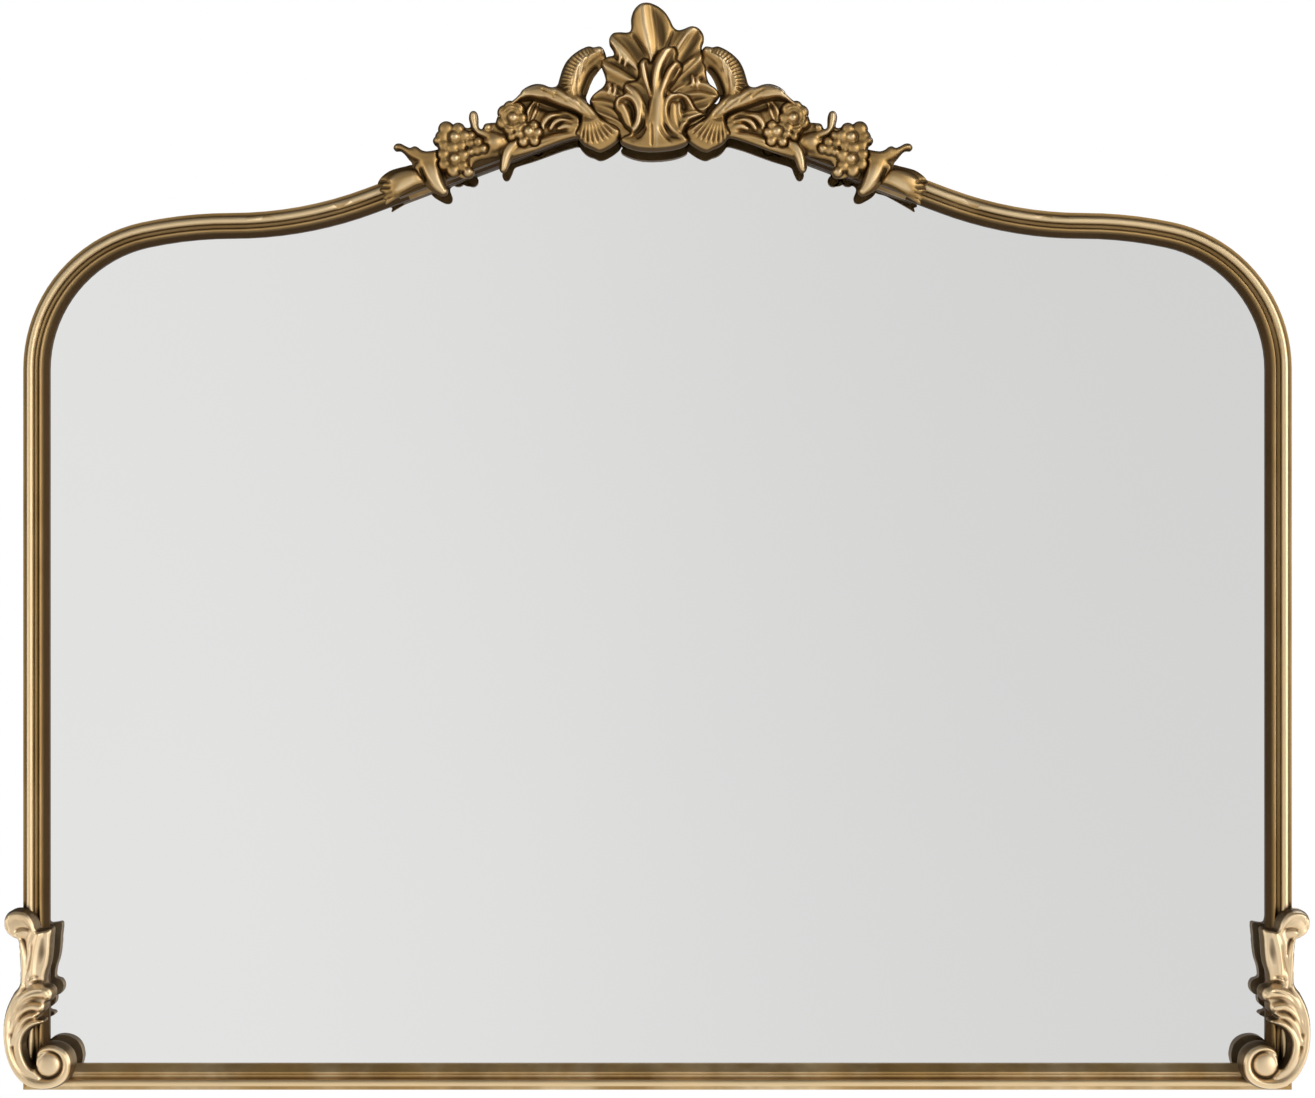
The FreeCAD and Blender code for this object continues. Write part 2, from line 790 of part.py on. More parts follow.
def lobe(pixels, to_part, level, rise):
    """A flat-backed crowned blade lofted along its spine."""
    spots = [to_part(pixel) for pixel in pixels]
    widest = max(pixel[2] for pixel in pixels)
    sections = []
    for number, (pixel, (x, z, scale)) in enumerate(zip(pixels, spots)):
        before = spots[max(number - 1, 0)]
        after = spots[min(number + 1, len(spots) - 1)]
        along = Vector(after[0] - before[0], 0, after[1] - before[1]).normalize()
        across = Vector(-along.z, 0, along.x) * (pixel[2] * scale)
        height = rise.value * (END_RISE_SHARE + (1 - END_RISE_SHARE) * pixel[2] / widest)
        foot = Vector(x, -level.value, z)
        edge = Vector(0, -height * EDGE_SHARE, 0)
        crown = foot + Vector(0, -height, 0)
        low, high = foot - across, foot + across
        sections.append(Part.Wire([
            Part.LineSegment(low, low + edge).toShape(),
            Part.Arc(low + edge, crown, high + edge).toShape(),
            Part.LineSegment(high + edge, high).toShape(),
            Part.LineSegment(high, low).toShape(),
        ]))
    return Part.makeLoft(sections, True, True)


def boss(centre, reach, to_part, level, rise):
    """A round cap, part of a ball, standing on its level."""
    x, z, scale = to_part(centre)
    spread = reach * scale
    radius = (spread ** 2 + rise.value ** 2) / (2 * rise.value)
    sunk = radius - rise.value
    cap = Part.makeSphere(radius, Vector(0, 0, -sunk), Vector(0, 0, 1), math.degrees(math.asin(sunk / radius)),
                          90, 360)
    cap.Placement = Placement(Vector(x, -level.value, z), Rotation(Vector(1, 0, 0), 90)).multiply(cap.Placement)
    return cap


def flower(spec, level):
    """A ring of round petals about a berry."""
    caps = [boss(spec.centre, spec.reach * HEART_SHARE, on_crest, level, size.flower_rise)]
    ring = spec.reach * (1 - PETAL_SHARE)
    for number in range(spec.petals):
        turn = 2 * math.pi * number / spec.petals
        centre = (spec.centre[0] + ring * math.sin(turn), spec.centre[1] - ring * math.cos(turn))
        caps.append(boss(centre, spec.reach * PETAL_SHARE, on_crest, level, size.flower_rise * PETAL_RISE_SHARE))
    return caps[0].multiFuse(caps[1:])


def carve(lobes, to_part, level, rise):
    solids = [lobe(pixels, to_part, level, rise) for pixels in lobes]
    return solids[0].multiFuse(solids[1:]) if len(solids) > 1 else solids[0]


def flip(shape):
    """The shape turned over about the middle of the crest."""
    x, _, _ = on_crest((PHOTO_CREST_MIDDLE_X, 0))
    return shape.mirror(Vector(x, 0, 0), Vector(1, 0, 0))


def make_crest_base():
    """Plate that follows the crown moulding and carries the carving."""
    body = new_body("crest_base", seat_level)
    outline = new_sketch(body, "outline", "XZ_Plane")
    outer = size.crest_base_inset
    inner = size.moulding_width - size.crest_base_inset

    def mirrored(point):
        return -point[0], point[1]

    end = size.crest_end_set_in
    draw(outline, slope_point(outer, end), [
        line_to(*crown_start(outer)),
        arc_to(mirrored(crown_start(outer)), size.crown_radius - outer, True),
        line_to(*mirrored(slope_point(outer, end))),
        line_to(*mirrored(slope_point(inner, end))),
        line_to(*mirrored(crown_start(inner))),
        arc_to(crown_start(inner), size.crown_radius - inner, False),
        line_to(*slope_point(inner, end)),
        line_to(*slope_point(outer, end)),
    ], closed=True)
    pad(body, outline, size.crest_base_thickness)
    return body


def make_garland(name, bird, turned):
    """Flowers, leaves and end leaf of one side, each let into the piece in front of it."""
    blooms = [flower(spec, crest_level) for spec in FLOWERS.values()]
    flowers = turned(blooms[0].multiFuse(blooms[1:])).cut(bird)
    leaves = turned(carve(LEAF_PIXELS, on_crest, crest_level, size.leaf_rise)).cut([flowers, bird])
    end_leaf = turned(carve(END_LEAF_PIXELS, on_crest, crest_level, size.leaf_rise)).cut([leaves, flowers])
    return {f"{name}_flowers": flowers, f"{name}_leaves": leaves, f"{name}_end_leaf": end_leaf}


def make_crest_carving():
    acanthus = carve(ACANTHUS_PIXELS, on_crest, crest_level, size.acanthus_rise)
    bird = carve(BIRD_PIXELS, on_crest, crest_level, size.bird_rise)
    left_bird = bird.cut(acanthus)
    right_bird = flip(bird).cut(acanthus)
    shell = carve(SHELL_PIXELS, on_crest, crest_level, size.shell_rise).cut([acanthus, left_bird, right_bird])
    carving = {
        "crest_shell": shell,
        "crest_acanthus": acanthus,
        "left_bird": left_bird,
        "right_bird": right_bird,
    }
    carving.update(make_garland("left", left_bird, lambda shape: shape))
    carving.update(make_garland("right", right_bird, flip))
    return [feature(label, shape) for label, shape in carving.items()]


def make_corner_scroll(name, side):
    scroll = carve(CORNER_PIXELS, on_left_corner, seat_level, size.corner_rise)
    curls = [boss(curl.centre, curl.reach, on_left_corner, seat_level, size.corner_rise)
             for curl in (CORNER_CURL, CORNER_EYE)]
    scroll = scroll.multiFuse(curls)
    if side == RIGHT:
        scroll = scroll.mirror(Vector(), Vector(1, 0, 0))
    return feature(f"{name}_corner_scroll", scroll)


# Assembly

bottom_rail = make_bottom_rail()
left_upright = make_upright("left", LEFT)
right_upright = make_upright("right", RIGHT)
crown_rail = make_crown_rail()
crown_dowels, mitre_dowels = make_dowels()
crown_dowel_group = group("crown_dowels", crown_dowels)
mitre_dowel_group = group("mitre_dowels", mitre_dowels)
backing_screws = make_screw_group("backing_screws", backing_screw_points(), back_level,
                                  size.backing_screw_length)
ornament_screws = make_screw_group("ornament_screws", ornament_screw_points(), moulding_level,
                                   size.ornament_screw_length)
glass = make_panel("mirror_glass", size.moulding_width - size.rabbet_width + size.glass_clearance,
                   moulding_level + size.mastic_thickness, size.glass_thickness)
mastic = make_mastic()
board = make_panel("backing_board", size.board_inset, back_level, size.board_thickness)
straps = {name: make_strap(name, side) for name, side in SIDES.items()}
rings = [make_ring(name, side) for name, side in SIDES.items()]
hanger_screws = make_hanger_screws()
bumpers = make_bumpers()

frame_tools = [crown_dowel_group, mitre_dowel_group, backing_screws, ornament_screws]
frame = [cut_away(piece.Label, piece, frame_tools)
         for piece in (bottom_rail, left_upright, right_upright, crown_rail)]
board = cut_away("backing_board", board, [backing_screws, hanger_screws])
straps = [cut_away(strap.Label, strap, [hanger_screws]) for strap in straps.values()]
crest_base = cut_away("crest_base", make_crest_base(), frame + [ornament_screws])
carving = make_crest_carving()
corners = [cut_away(corner.Label, corner, frame + [ornament_screws])
           for corner in (make_corner_scroll(name, side) for name, side in SIDES.items())]

sub_parts = frame + [crown_dowel_group, mitre_dowel_group, glass, mastic, board, backing_screws, ornament_screws]
sub_parts += straps + rings + [hanger_screws, bumpers, crest_base] + carving + corners

# Checks and files

doc.recompute()
for item in doc.Objects:
    if "Invalid" in item.State or "Error" in item.State:
        raise RuntimeError(f"{item.Label} failed: {item.State}")
for piece in sub_parts:
    shape = piece.Shape
    if shape.isNull() or not shape.isValid() or not shape.Solids:
        raise RuntimeError(f"{piece.Label} has no valid solid")

os.makedirs("parts", exist_ok=True)
for piece in sub_parts:
    piece.Shape.exportStep(f"parts/{piece.Label}.step")
    print(piece.Label, len(piece.Shape.Solids), round(piece.Shape.Volume, 1))
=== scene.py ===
"""Looks of an arched wall mirror: gilt mouldings, cast ornaments, silvered glass and fittings."""

import math

import bmesh
import bpy
import numpy as np
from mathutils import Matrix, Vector


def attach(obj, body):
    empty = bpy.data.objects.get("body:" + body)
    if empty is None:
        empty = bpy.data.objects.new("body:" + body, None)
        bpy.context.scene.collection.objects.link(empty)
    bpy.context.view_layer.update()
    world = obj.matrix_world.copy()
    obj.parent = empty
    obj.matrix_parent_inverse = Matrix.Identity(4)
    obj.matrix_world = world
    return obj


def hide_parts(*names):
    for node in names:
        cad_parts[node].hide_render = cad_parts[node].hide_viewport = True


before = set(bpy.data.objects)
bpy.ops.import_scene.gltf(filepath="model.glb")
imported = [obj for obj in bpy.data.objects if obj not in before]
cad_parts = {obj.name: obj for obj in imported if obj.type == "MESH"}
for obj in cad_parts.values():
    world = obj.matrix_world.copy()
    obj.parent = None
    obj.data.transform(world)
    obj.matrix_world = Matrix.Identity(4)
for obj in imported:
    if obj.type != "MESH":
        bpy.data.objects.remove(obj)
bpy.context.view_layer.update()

# Camera of the photograph, straight in front of the mirror

PHOTO_WIDTH = 1315
PHOTO_HEIGHT = 1098
CAMERA_DISTANCE = 1.6
CAMERA_HEIGHT = -0.0515
FOCAL_PIXELS = 2246.4
SENSOR_WIDTH = 36

# Depths of the castings in metres in front of the wall

MM = 0.001
CREST_BACK = 0.0375
CREST_PHOTO_DEPTH = 0.043
CORNER_BACK = 0.0295
CORNER_PHOTO_DEPTH = 0.038
CREST_MIDDLE_PIXEL = 653
FRAME_MIDDLE_PIXEL = 657

# Grid and softness of the castings, in pixels of the photograph

GRID_STEP = 0.55
GRID_MARGIN = 2.5
SOFTEN_PIXELS = 0.8
RIM_PIXELS = 2.7
FINE_PIXELS = 2.0
BROAD_PIXELS = 7.0
LEAST_SOFT = 1.6
LEAST_HALF = 0.3
HIDDEN_OVERLAP = 1.5
WHOLE_GRID = 1000.0
FAR_OUTSIDE = -99.0

# Heights of the castings in millimetres

BLEND_MM = 1.3
LEAST_MM = 0.6
FULL_RECESS_MM = 2.0

# Shares, counts and angles of the castings

SAMPLES_PER_SPAN = 6
RING_POINTS = 13
RIM_SHARE = 0.45
BROAD_SHARE = 0.25
SOFT_SHARE = 0.62
LEAST_CUT_SHARE = 0.12
BARB_STEEPNESS = 7
FAN_HUB = 0.3
FAN_LIP = 0.88
FAN_ROUND = 0.3
FAN_VALLEY = 1.2
# Painted shade on the walls and flat back of every casting
BACK_SHADE = -0.6
SHARP_ANGLE = math.radians(62)

# Cross sections of the blades: place across from -1 on the left to 1 on the right, and share of the rise

ROUND = [(-1, 0.62), (-0.55, 0.92), (0, 1), (0.55, 0.92), (1, 0.62)]
GUTTER = [(-1, 0.6), (-0.65, 1), (0, 0.3), (0.65, 1), (1, 0.6)]
TWO_FOLDS = [(-1, 0.4), (-0.5, 1), (0, 0.3), (0.5, 0.95), (1, 0.4)]
HOLLOW = [(-1, 0.5), (-0.5, 1), (-0.1, 0.85), (0.3, 0.2), (0.6, 0.3), (0.88, 0.85), (1, 0.6)]
TOP_LOBE = [(-1, 0.45), (-0.7, 0.85), (-0.35, 1), (0, 0.75), (0.3, 0.25), (0.5, 0.2), (0.75, 0.5),
            (0.92, 0.9), (1, 0.7)]
WING = [(-1, 0.5), (-0.7, 0.72), (-0.4, 0.8), (-0.2, 0.98), (0.05, 1), (0.3, 0.8), (0.55, 0.55),
        (0.75, 0.6), (0.9, 0.85), (1, 0.65)]
CUP = [(-1, 0.5), (-0.7, 0.9), (-0.35, 0.7), (-0.05, 1), (0.3, 0.4), (0.7, 0.3), (0.92, 0.9), (1, 0.7)]


def smooth_path(points, closed=False):
    """A curve through rows of numbers, with several samples in each span."""
    rows = np.array(points, float)
    if closed:
        padded = np.vstack([rows[-1:], rows, rows[:2]])
    else:
        padded = np.vstack([2 * rows[0] - rows[1], rows, 2 * rows[-1] - rows[-2]])
    share = np.linspace(0, 1, SAMPLES_PER_SPAN, endpoint=False)[:, None]
    spans = []
    for before, start, end, after in zip(padded, padded[1:], padded[2:], padded[3:]):
        spans.append(0.5 * (2 * start + (end - before) * share
                            + (2 * before - 5 * start + 4 * end - after) * share ** 2
                            + (3 * start - before - 3 * end + after) * share ** 3))
    return np.vstack(spans + [rows[:1] if closed else rows[-1:]])


def shape_of(section, across):
    """Height share of a cross section, eased between its points."""
    places, shares = np.array(section, float).T
    span = np.clip(np.searchsorted(places, across) - 1, 0, len(places) - 2)
    share = np.clip((across - places[span]) / (places[span + 1] - places[span]), 0, 1)
    share = share * share * (3 - 2 * share)
    return shares[span] + (shares[span + 1] - shares[span]) * share


def blurred(field, weight, pixels):
    """A field smoothed within the places that have weight."""
    spread = pixels / GRID_STEP
    reach = int(math.ceil(3 * spread))
    kernel = np.exp(-0.5 * (np.arange(-reach, reach + 1) / spread) ** 2)
    kernel /= kernel.sum()

    def smooth(values):
        padded = np.pad(values, reach)
        rows = sum(kernel[k] * padded[:, k:k + values.shape[1]] for k in range(2 * reach + 1))
        return sum(kernel[k] * rows[k:k + values.shape[0]] for k in range(2 * reach + 1))

    return smooth(field * weight) / np.maximum(smooth(weight), 1e-9)


class Relief:
    """A flat-backed casting, as a height in millimetres over a grid of the photograph's pixels."""

    def __init__(self, bed, outline=None, area=None):
        """A bed of even height within an outline, or an empty area that domes will fill."""
        curve = smooth_path(outline, True) if outline else np.array(area, float)
        low, high = curve.min(0) - GRID_MARGIN, curve.max(0) + GRID_MARGIN
        columns = np.arange(low[0], high[0], GRID_STEP)
        rows = np.arange(low[1], high[1], GRID_STEP)
        self.px, self.py = np.meshgrid(columns, rows)
        self.bed = bed
        self.height = np.full_like(self.px, bed)
        # Dark patina, painted shade and painted highlight, laid on in strokes
        self.patina_and_painted_light = np.zeros_like(self.px)
        self.inside = np.full_like(self.px, FAR_OUTSIDE)
        self.grows = outline is None
        if outline:
            self.inside = self.depth_within(curve)

    def depth_within(self, curve):
        """Distance from a closed curve in pixels, positive inside it."""
        _, distance, _, _ = self.nearest(curve, WHOLE_GRID)
        within = np.zeros(self.px.shape, bool)
        for (x0, y0), (x1, y1) in zip(curve[:-1], curve[1:]):
            if y0 != y1:
                spans = (y0 > self.py) != (y1 > self.py)
                within ^= spans & (self.px < x0 + (self.py - y0) * (x1 - x0) / (y1 - y0))
        return np.where(within, distance, -distance)

    def window(self, low, high):
        """The part of the grid between two corners."""
        columns = np.searchsorted(self.px[0], [low[0], high[0]])
        rows = np.searchsorted(self.py[:, 0], [low[1], high[1]])
        return slice(*rows), slice(*columns)

    def nearest(self, path, reach):
        """The window about a path and, for each place in it, distance, side and row of the nearest point."""
        window = self.window(path[:, :2].min(0) - reach, path[:, :2].max(0) + reach)
        px, py = self.px[window], self.py[window]
        distance = np.full_like(px, np.inf)
        across = np.zeros_like(px)
        place = np.zeros_like(px)
        for number, (start, end) in enumerate(zip(path[:-1, :2], path[1:, :2])):
            run = end - start
            length = max(math.hypot(*run), 1e-6)
            away_x, away_y = px - start[0], py - start[1]
            share = np.clip((away_x * run[0] + away_y * run[1]) / length ** 2, 0, 1)
            gap = np.hypot(away_x - share * run[0], away_y - share * run[1])
            closer = gap < distance
            distance = np.where(closer, gap, distance)
            across = np.where(closer, (run[0] * away_y - run[1] * away_x) / length, across)
            place = np.where(closer, number + share, place)
        return window, distance, across, place

    def raise_to(self, window, height, edge, margin):
        """Blends a new shape into the surface, which may widen a casting without an outline."""
        below = self.height[window]
        join = np.clip(1 - np.abs(height - below) / BLEND_MM, 0, 1)
        risen = np.maximum(height, below) + BLEND_MM * join ** 2 / 4
        self.height[window] = np.where(edge < 1, risen, below)
        if self.grows:
            self.inside[window] = np.maximum(self.inside[window], margin)

    def blade(self, points, section=ROUND, barbs=None):
        """A leaf, feather or scroll along a spine of rows (x, y, half width, height).

        Barbs are cuts across it: their count and depth, and the strip from low to high that they fill.
        """
        path = smooth_path(points)
        window, distance, across, place = self.nearest(path, path[:, 2].max())
        rows = np.arange(len(path))
        half = np.maximum(np.interp(place, rows, path[:, 2]), LEAST_HALF)
        foot = self.bed - BLEND_MM
        rise = np.maximum(np.interp(place, rows, path[:, 3]) - foot, 0)
        edge = distance / half
        side = np.clip(across / half, -1, 1)
        soft = np.maximum(SOFT_SHARE * half, LEAST_SOFT)
        crown = np.sin(0.5 * math.pi * np.clip((half - distance) / soft, 0, 1))
        height = foot + rise * crown * shape_of(section, side)
        if barbs:
            count, depth, low, high = barbs
            lower = np.clip((side - low) * BARB_STEEPNESS, 0, 1)
            upper = np.clip((high - side) * BARB_STEEPNESS, 0, 1)
            strip = lower * upper
            wave = 0.5 - 0.5 * np.cos(2 * math.pi * count * place / (len(path) - 1))
            height -= depth * strip * crown * wave
        self.raise_to(window, height, edge, half - distance)

    def blades(self, section, *spines):
        for points in spines:
            self.blade(points, section)

    def dome(self, x, y, radius, rise, drop=None, spread=1.0, bend=0.5):
        """A boss: part of a ball, or a mound where the bend is one; a drop and a spread make it shallow."""
        reach = radius * spread
        window = self.window((x - reach, y - reach), (x + reach, y + reach))
        away = np.hypot(self.px[window] - x, self.py[window] - y)
        foot = self.bed - BLEND_MM if drop is None else rise - drop
        height = foot + (rise - foot) * np.clip(1 - (away / reach) ** 2, 0, 1) ** bend
        self.raise_to(window, height, away / reach, radius - away)

    def fan(self, apex, aim, spread, reach, ribs, rise, depth):
        """A ribbed fan about its apex: aim and half spread in degrees from straight down, reach in pixels."""
        window = self.window((apex[0] - reach, apex[1] - reach), (apex[0] + reach, apex[1] + reach))
        away_x, away_y = self.px[window] - apex[0], self.py[window] - apex[1]
        turn = (np.degrees(np.arctan2(away_x, away_y)) - aim) / spread
        out = np.hypot(away_x, away_y) / reach
        valley = (1 - np.abs(np.cos(0.5 * math.pi * ribs * (turn + 1)))) ** FAN_VALLEY
        cut = depth * valley * np.clip((out - FAN_HUB) * 4, 0, 1) * np.clip((FAN_LIP - out) * 8, 0, 1)
        swell = np.sin(0.5 * math.pi * np.clip((1 - out) / FAN_ROUND, 0, 1))
        foot = self.bed - BLEND_MM
        lift = foot + (rise - foot) * np.clip(out * 3, 0, 1) * (0.5 + 0.5 * swell) - cut
        edge = np.maximum(out, np.abs(turn))
        self.raise_to(window, lift, edge, reach * (1 - edge))

    def ring(self, x, y, radius, width, depth):
        """An engraved circle."""
        turns = np.linspace(0, 2 * math.pi, RING_POINTS)
        points = [(x + radius * math.cos(turn), y + radius * math.sin(turn)) for turn in turns]
        self.groove(points, width, depth)

    def groove(self, points, width, depth):
        """An engraved line along points (x, y)."""
        path = smooth_path(points)
        window, distance, _, place = self.nearest(path, 3 * width)
        share = place / (len(path) - 1)
        fade = np.clip(np.minimum(share, 1 - share) * 6, 0.15, 1)
        self.height[window] -= depth * fade * np.exp(-(distance / width) ** 2)

    def grooves(self, width, depth, *lines):
        for points in lines:
            self.groove(points, width, depth)

    def paint_patina_and_light(self, *strokes):
        """Dark patina and painted shade along rows (x, y, half width, strength); a negative strength paints a
        highlight of paler gold.
        """
        for points in strokes:
            path = smooth_path(points)
            window, distance, _, place = self.nearest(path, path[:, 2].max())
            rows = np.arange(len(path))
            soft = np.clip(1 - distance / np.interp(place, rows, path[:, 2]), 0, 1)
            self.patina_and_painted_light[window] += np.interp(place, rows, path[:, 3]) * soft * soft * (3 - 2 * soft)

    def cut_behind(self, front, overlap):
        """Takes away what lies hidden behind another casting, but for an overlap in pixels."""
        columns = np.round((self.px - front.px[0, 0]) / GRID_STEP).astype(int)
        rows = np.round((self.py - front.py[0, 0]) / GRID_STEP).astype(int)
        tall, wide = front.px.shape
        known = (columns >= 0) & (columns < wide) & (rows >= 0) & (rows < tall)
        cover = front.inside[np.clip(rows, 0, tall - 1), np.clip(columns, 0, wide - 1)]
        self.inside = np.where(known, np.minimum(self.inside, overlap - cover), self.inside)

    def settle(self):
        """Rounds the rim, softens the steps between blades and finds the low and high places, for patina and
        painted shade and for wear and painted highlight.
        """
        rim = np.sin(0.5 * math.pi * np.clip(self.inside / RIM_PIXELS, 0, 1))
        weight = (self.inside > 0).astype(float)
        height = self.height * (RIM_SHARE + (1 - RIM_SHARE) * rim)
        near = blurred(height, weight, 1.5 * GRID_STEP)
        height = np.where(weight > 0, height, near)
        self.height = np.maximum(blurred(height, np.ones_like(height), SOFTEN_PIXELS), LEAST_MM)
        # Negative where the casting lies below its surroundings, for patina and painted shade; the broad
        # share paints shade under raised parts; the strokes add painted shade and highlight
        fine = self.height - blurred(self.height, weight, FINE_PIXELS)
        broad = self.height - blurred(self.height, weight, BROAD_PIXELS)
        self.patina_and_shade = np.clip((fine + BROAD_SHARE * broad) / FULL_RECESS_MM - self.patina_and_painted_light, -1, 1)


def cut_faces(relief):
    """Faces of the part of the grid inside the outline, cut along it: points, faces and edge pairs."""
    inside = relief.inside
    within = inside > 0
    corners = np.stack([within[:-1, :-1], within[:-1, 1:], within[1:, 1:], within[1:, :-1]])
    count = corners.sum(0)
    number = np.arange(inside.size).reshape(inside.shape)
    whole = count == 4
    ring = [number[:-1, :-1], number[:-1, 1:], number[1:, 1:], number[1:, :-1]]
    faces = np.stack([side[whole] for side in ring], 1).tolist()
    flat_x, flat_y = relief.px.ravel(), relief.py.ravel()
    # The last column carries patina, painted shade and painted highlight to every point
    values, heights, patina_shade_per_point = inside.ravel(), relief.height.ravel(), relief.patina_and_shade.ravel()
    extra, made, rim = [], {}, []

    def crossing(inner, outer):
        key = (inner, outer)
        if key not in made:
            share = values[inner] / (values[inner] - values[outer])
            share = min(max(share, LEAST_CUT_SHARE), 1 - LEAST_CUT_SHARE)
            made[key] = inside.size + len(extra)
            extra.append((flat_x[inner] + share * (flat_x[outer] - flat_x[inner]),
                          flat_y[inner] + share * (flat_y[outer] - flat_y[inner]),
                          heights[inner] + share * (heights[outer] - heights[inner]), patina_shade_per_point[inner]))
        return made[key]

    for row, column in np.argwhere((count > 0) & (count < 4)):
        square = [int(side[row, column]) for side in ring]
        face = []
        cuts = []
        for place, corner in enumerate(square):
            following = square[(place + 1) % 4]
            if values[corner] > 0:
                face.append(corner)
            if (values[corner] > 0) != (values[following] > 0):
                pair = (corner, following) if values[corner] > 0 else (following, corner)
                point = crossing(*pair)
                cuts.append((len(face), point, values[corner] > 0))
                face.append(point)
        faces.append(face)
        leaving = [point for _, point, out in cuts if out]
        coming = [point for _, point, out in cuts if not out]
        if len(cuts) == 4 and not cuts[0][2]:
            coming = coming[1:] + coming[:1]
        rim.extend(zip(leaving, coming))
    points = np.vstack([np.stack([flat_x, flat_y, heights, patina_shade_per_point], 1), np.array(extra).reshape(-1, 4)])
    return points, faces, rim


def add_object(name, data):
    """A new object in the scene."""
    made = bpy.data.objects.new(name, data)
    bpy.context.scene.collection.objects.link(made)
    return made


def casting(name, relief, back, photo_depth, mirror_pixel=None):
    """A closed mesh of a relief, set where the photograph shows it."""
    points, faces, rim = cut_faces(relief)
    used = np.unique(np.concatenate([np.array(face) for face in faces]))
    renumber = np.full(len(points), -1)
    renumber[used] = np.arange(len(used))
    points = points[used]
    faces = [renumber[face].tolist() for face in faces]
    rim = [(int(renumber[a]), int(renumber[b])) for a, b in rim]
    px = points[:, 0] if mirror_pixel is None else 2 * mirror_pixel - points[:, 0]
    scale = (CAMERA_DISTANCE - photo_depth) / FOCAL_PIXELS
    x = (px - PHOTO_WIDTH / 2) * scale
    z = CAMERA_HEIGHT + (PHOTO_HEIGHT / 2 - points[:, 1]) * scale
    front = np.stack([x, -back - points[:, 2] * MM, z], 1)
    foot_of = {}
    feet = []
    for pair in rim:
        for corner in pair:
            if corner not in foot_of:
                foot_of[corner] = len(front) + len(feet)
                feet.append((x[corner], -back, z[corner]))
    walls = [(b, a, foot_of[a], foot_of[b]) for a, b in rim]
    mesh = bpy.data.meshes.new(name)
    vertices = np.vstack([front, np.array(feet)])
    every_face = faces + walls
    if mirror_pixel is not None:
        every_face = [face[::-1] for face in every_face]
    mesh.from_pydata(vertices.tolist(), [], every_face)
    fill_back(mesh, len(front))
    # Walls and back painted dark as painted shade; the front carries the patina, painted shade and painted
    # highlight of the relief
    patina_shade_per_vertex = np.full(len(mesh.vertices), BACK_SHADE, np.float32)
    patina_shade_per_vertex[:len(front)] = points[:, 3]
    attribute = mesh.attributes.new("patina_and_shade", "FLOAT", "POINT")
    attribute.data.foreach_set("value", patina_shade_per_vertex)
    mesh.polygons.foreach_set("use_smooth", [True] * len(mesh.polygons))
    mesh.set_sharp_from_angle(angle=SHARP_ANGLE)
    return add_object(name, mesh)


def fill_back(mesh, first_foot):
    """Closes the flat back between the feet of the walls."""
    work = bmesh.new()
    work.from_mesh(mesh)
    edges = [edge for edge in work.edges
             if edge.is_boundary and all(vertex.index >= first_foot for vertex in edge.verts)]
    bmesh.ops.triangle_fill(work, use_beauty=False, use_dissolve=False, edges=edges)
    bmesh.ops.recalc_face_normals(work, faces=work.faces)
    work.to_mesh(mesh)
    work.free()


# Crest: a shell behind, an acanthus in front of it, a bird on each side and a garland beyond each bird

SHELL_OUTLINE = [
    (590, 104), (591, 97), (597, 91), (603, 86), (605.5, 80), (604, 73), (601.5, 66), (602, 59), (608, 56),
    (613.5, 54.5), (613, 50), (609.5, 44), (609.5, 38), (613, 32.5), (620, 31.5), (628, 31.5), (631, 28),
    (631, 18), (634, 9.5), (640, 4), (648, 2.5), (657, 5), (665, 11.5), (670, 19), (673.5, 26), (678, 29.2),
    (684, 28.2), (691, 26), (698, 27.5), (703, 33), (704, 40), (702, 47), (703, 58), (706, 67), (707, 76),
    (710, 83.5), (716, 88.5), (720, 94), (717, 100), (709, 108), (704, 118), (694, 128), (684, 140),
    (655, 146), (626, 140), (612, 128), (598, 116)]


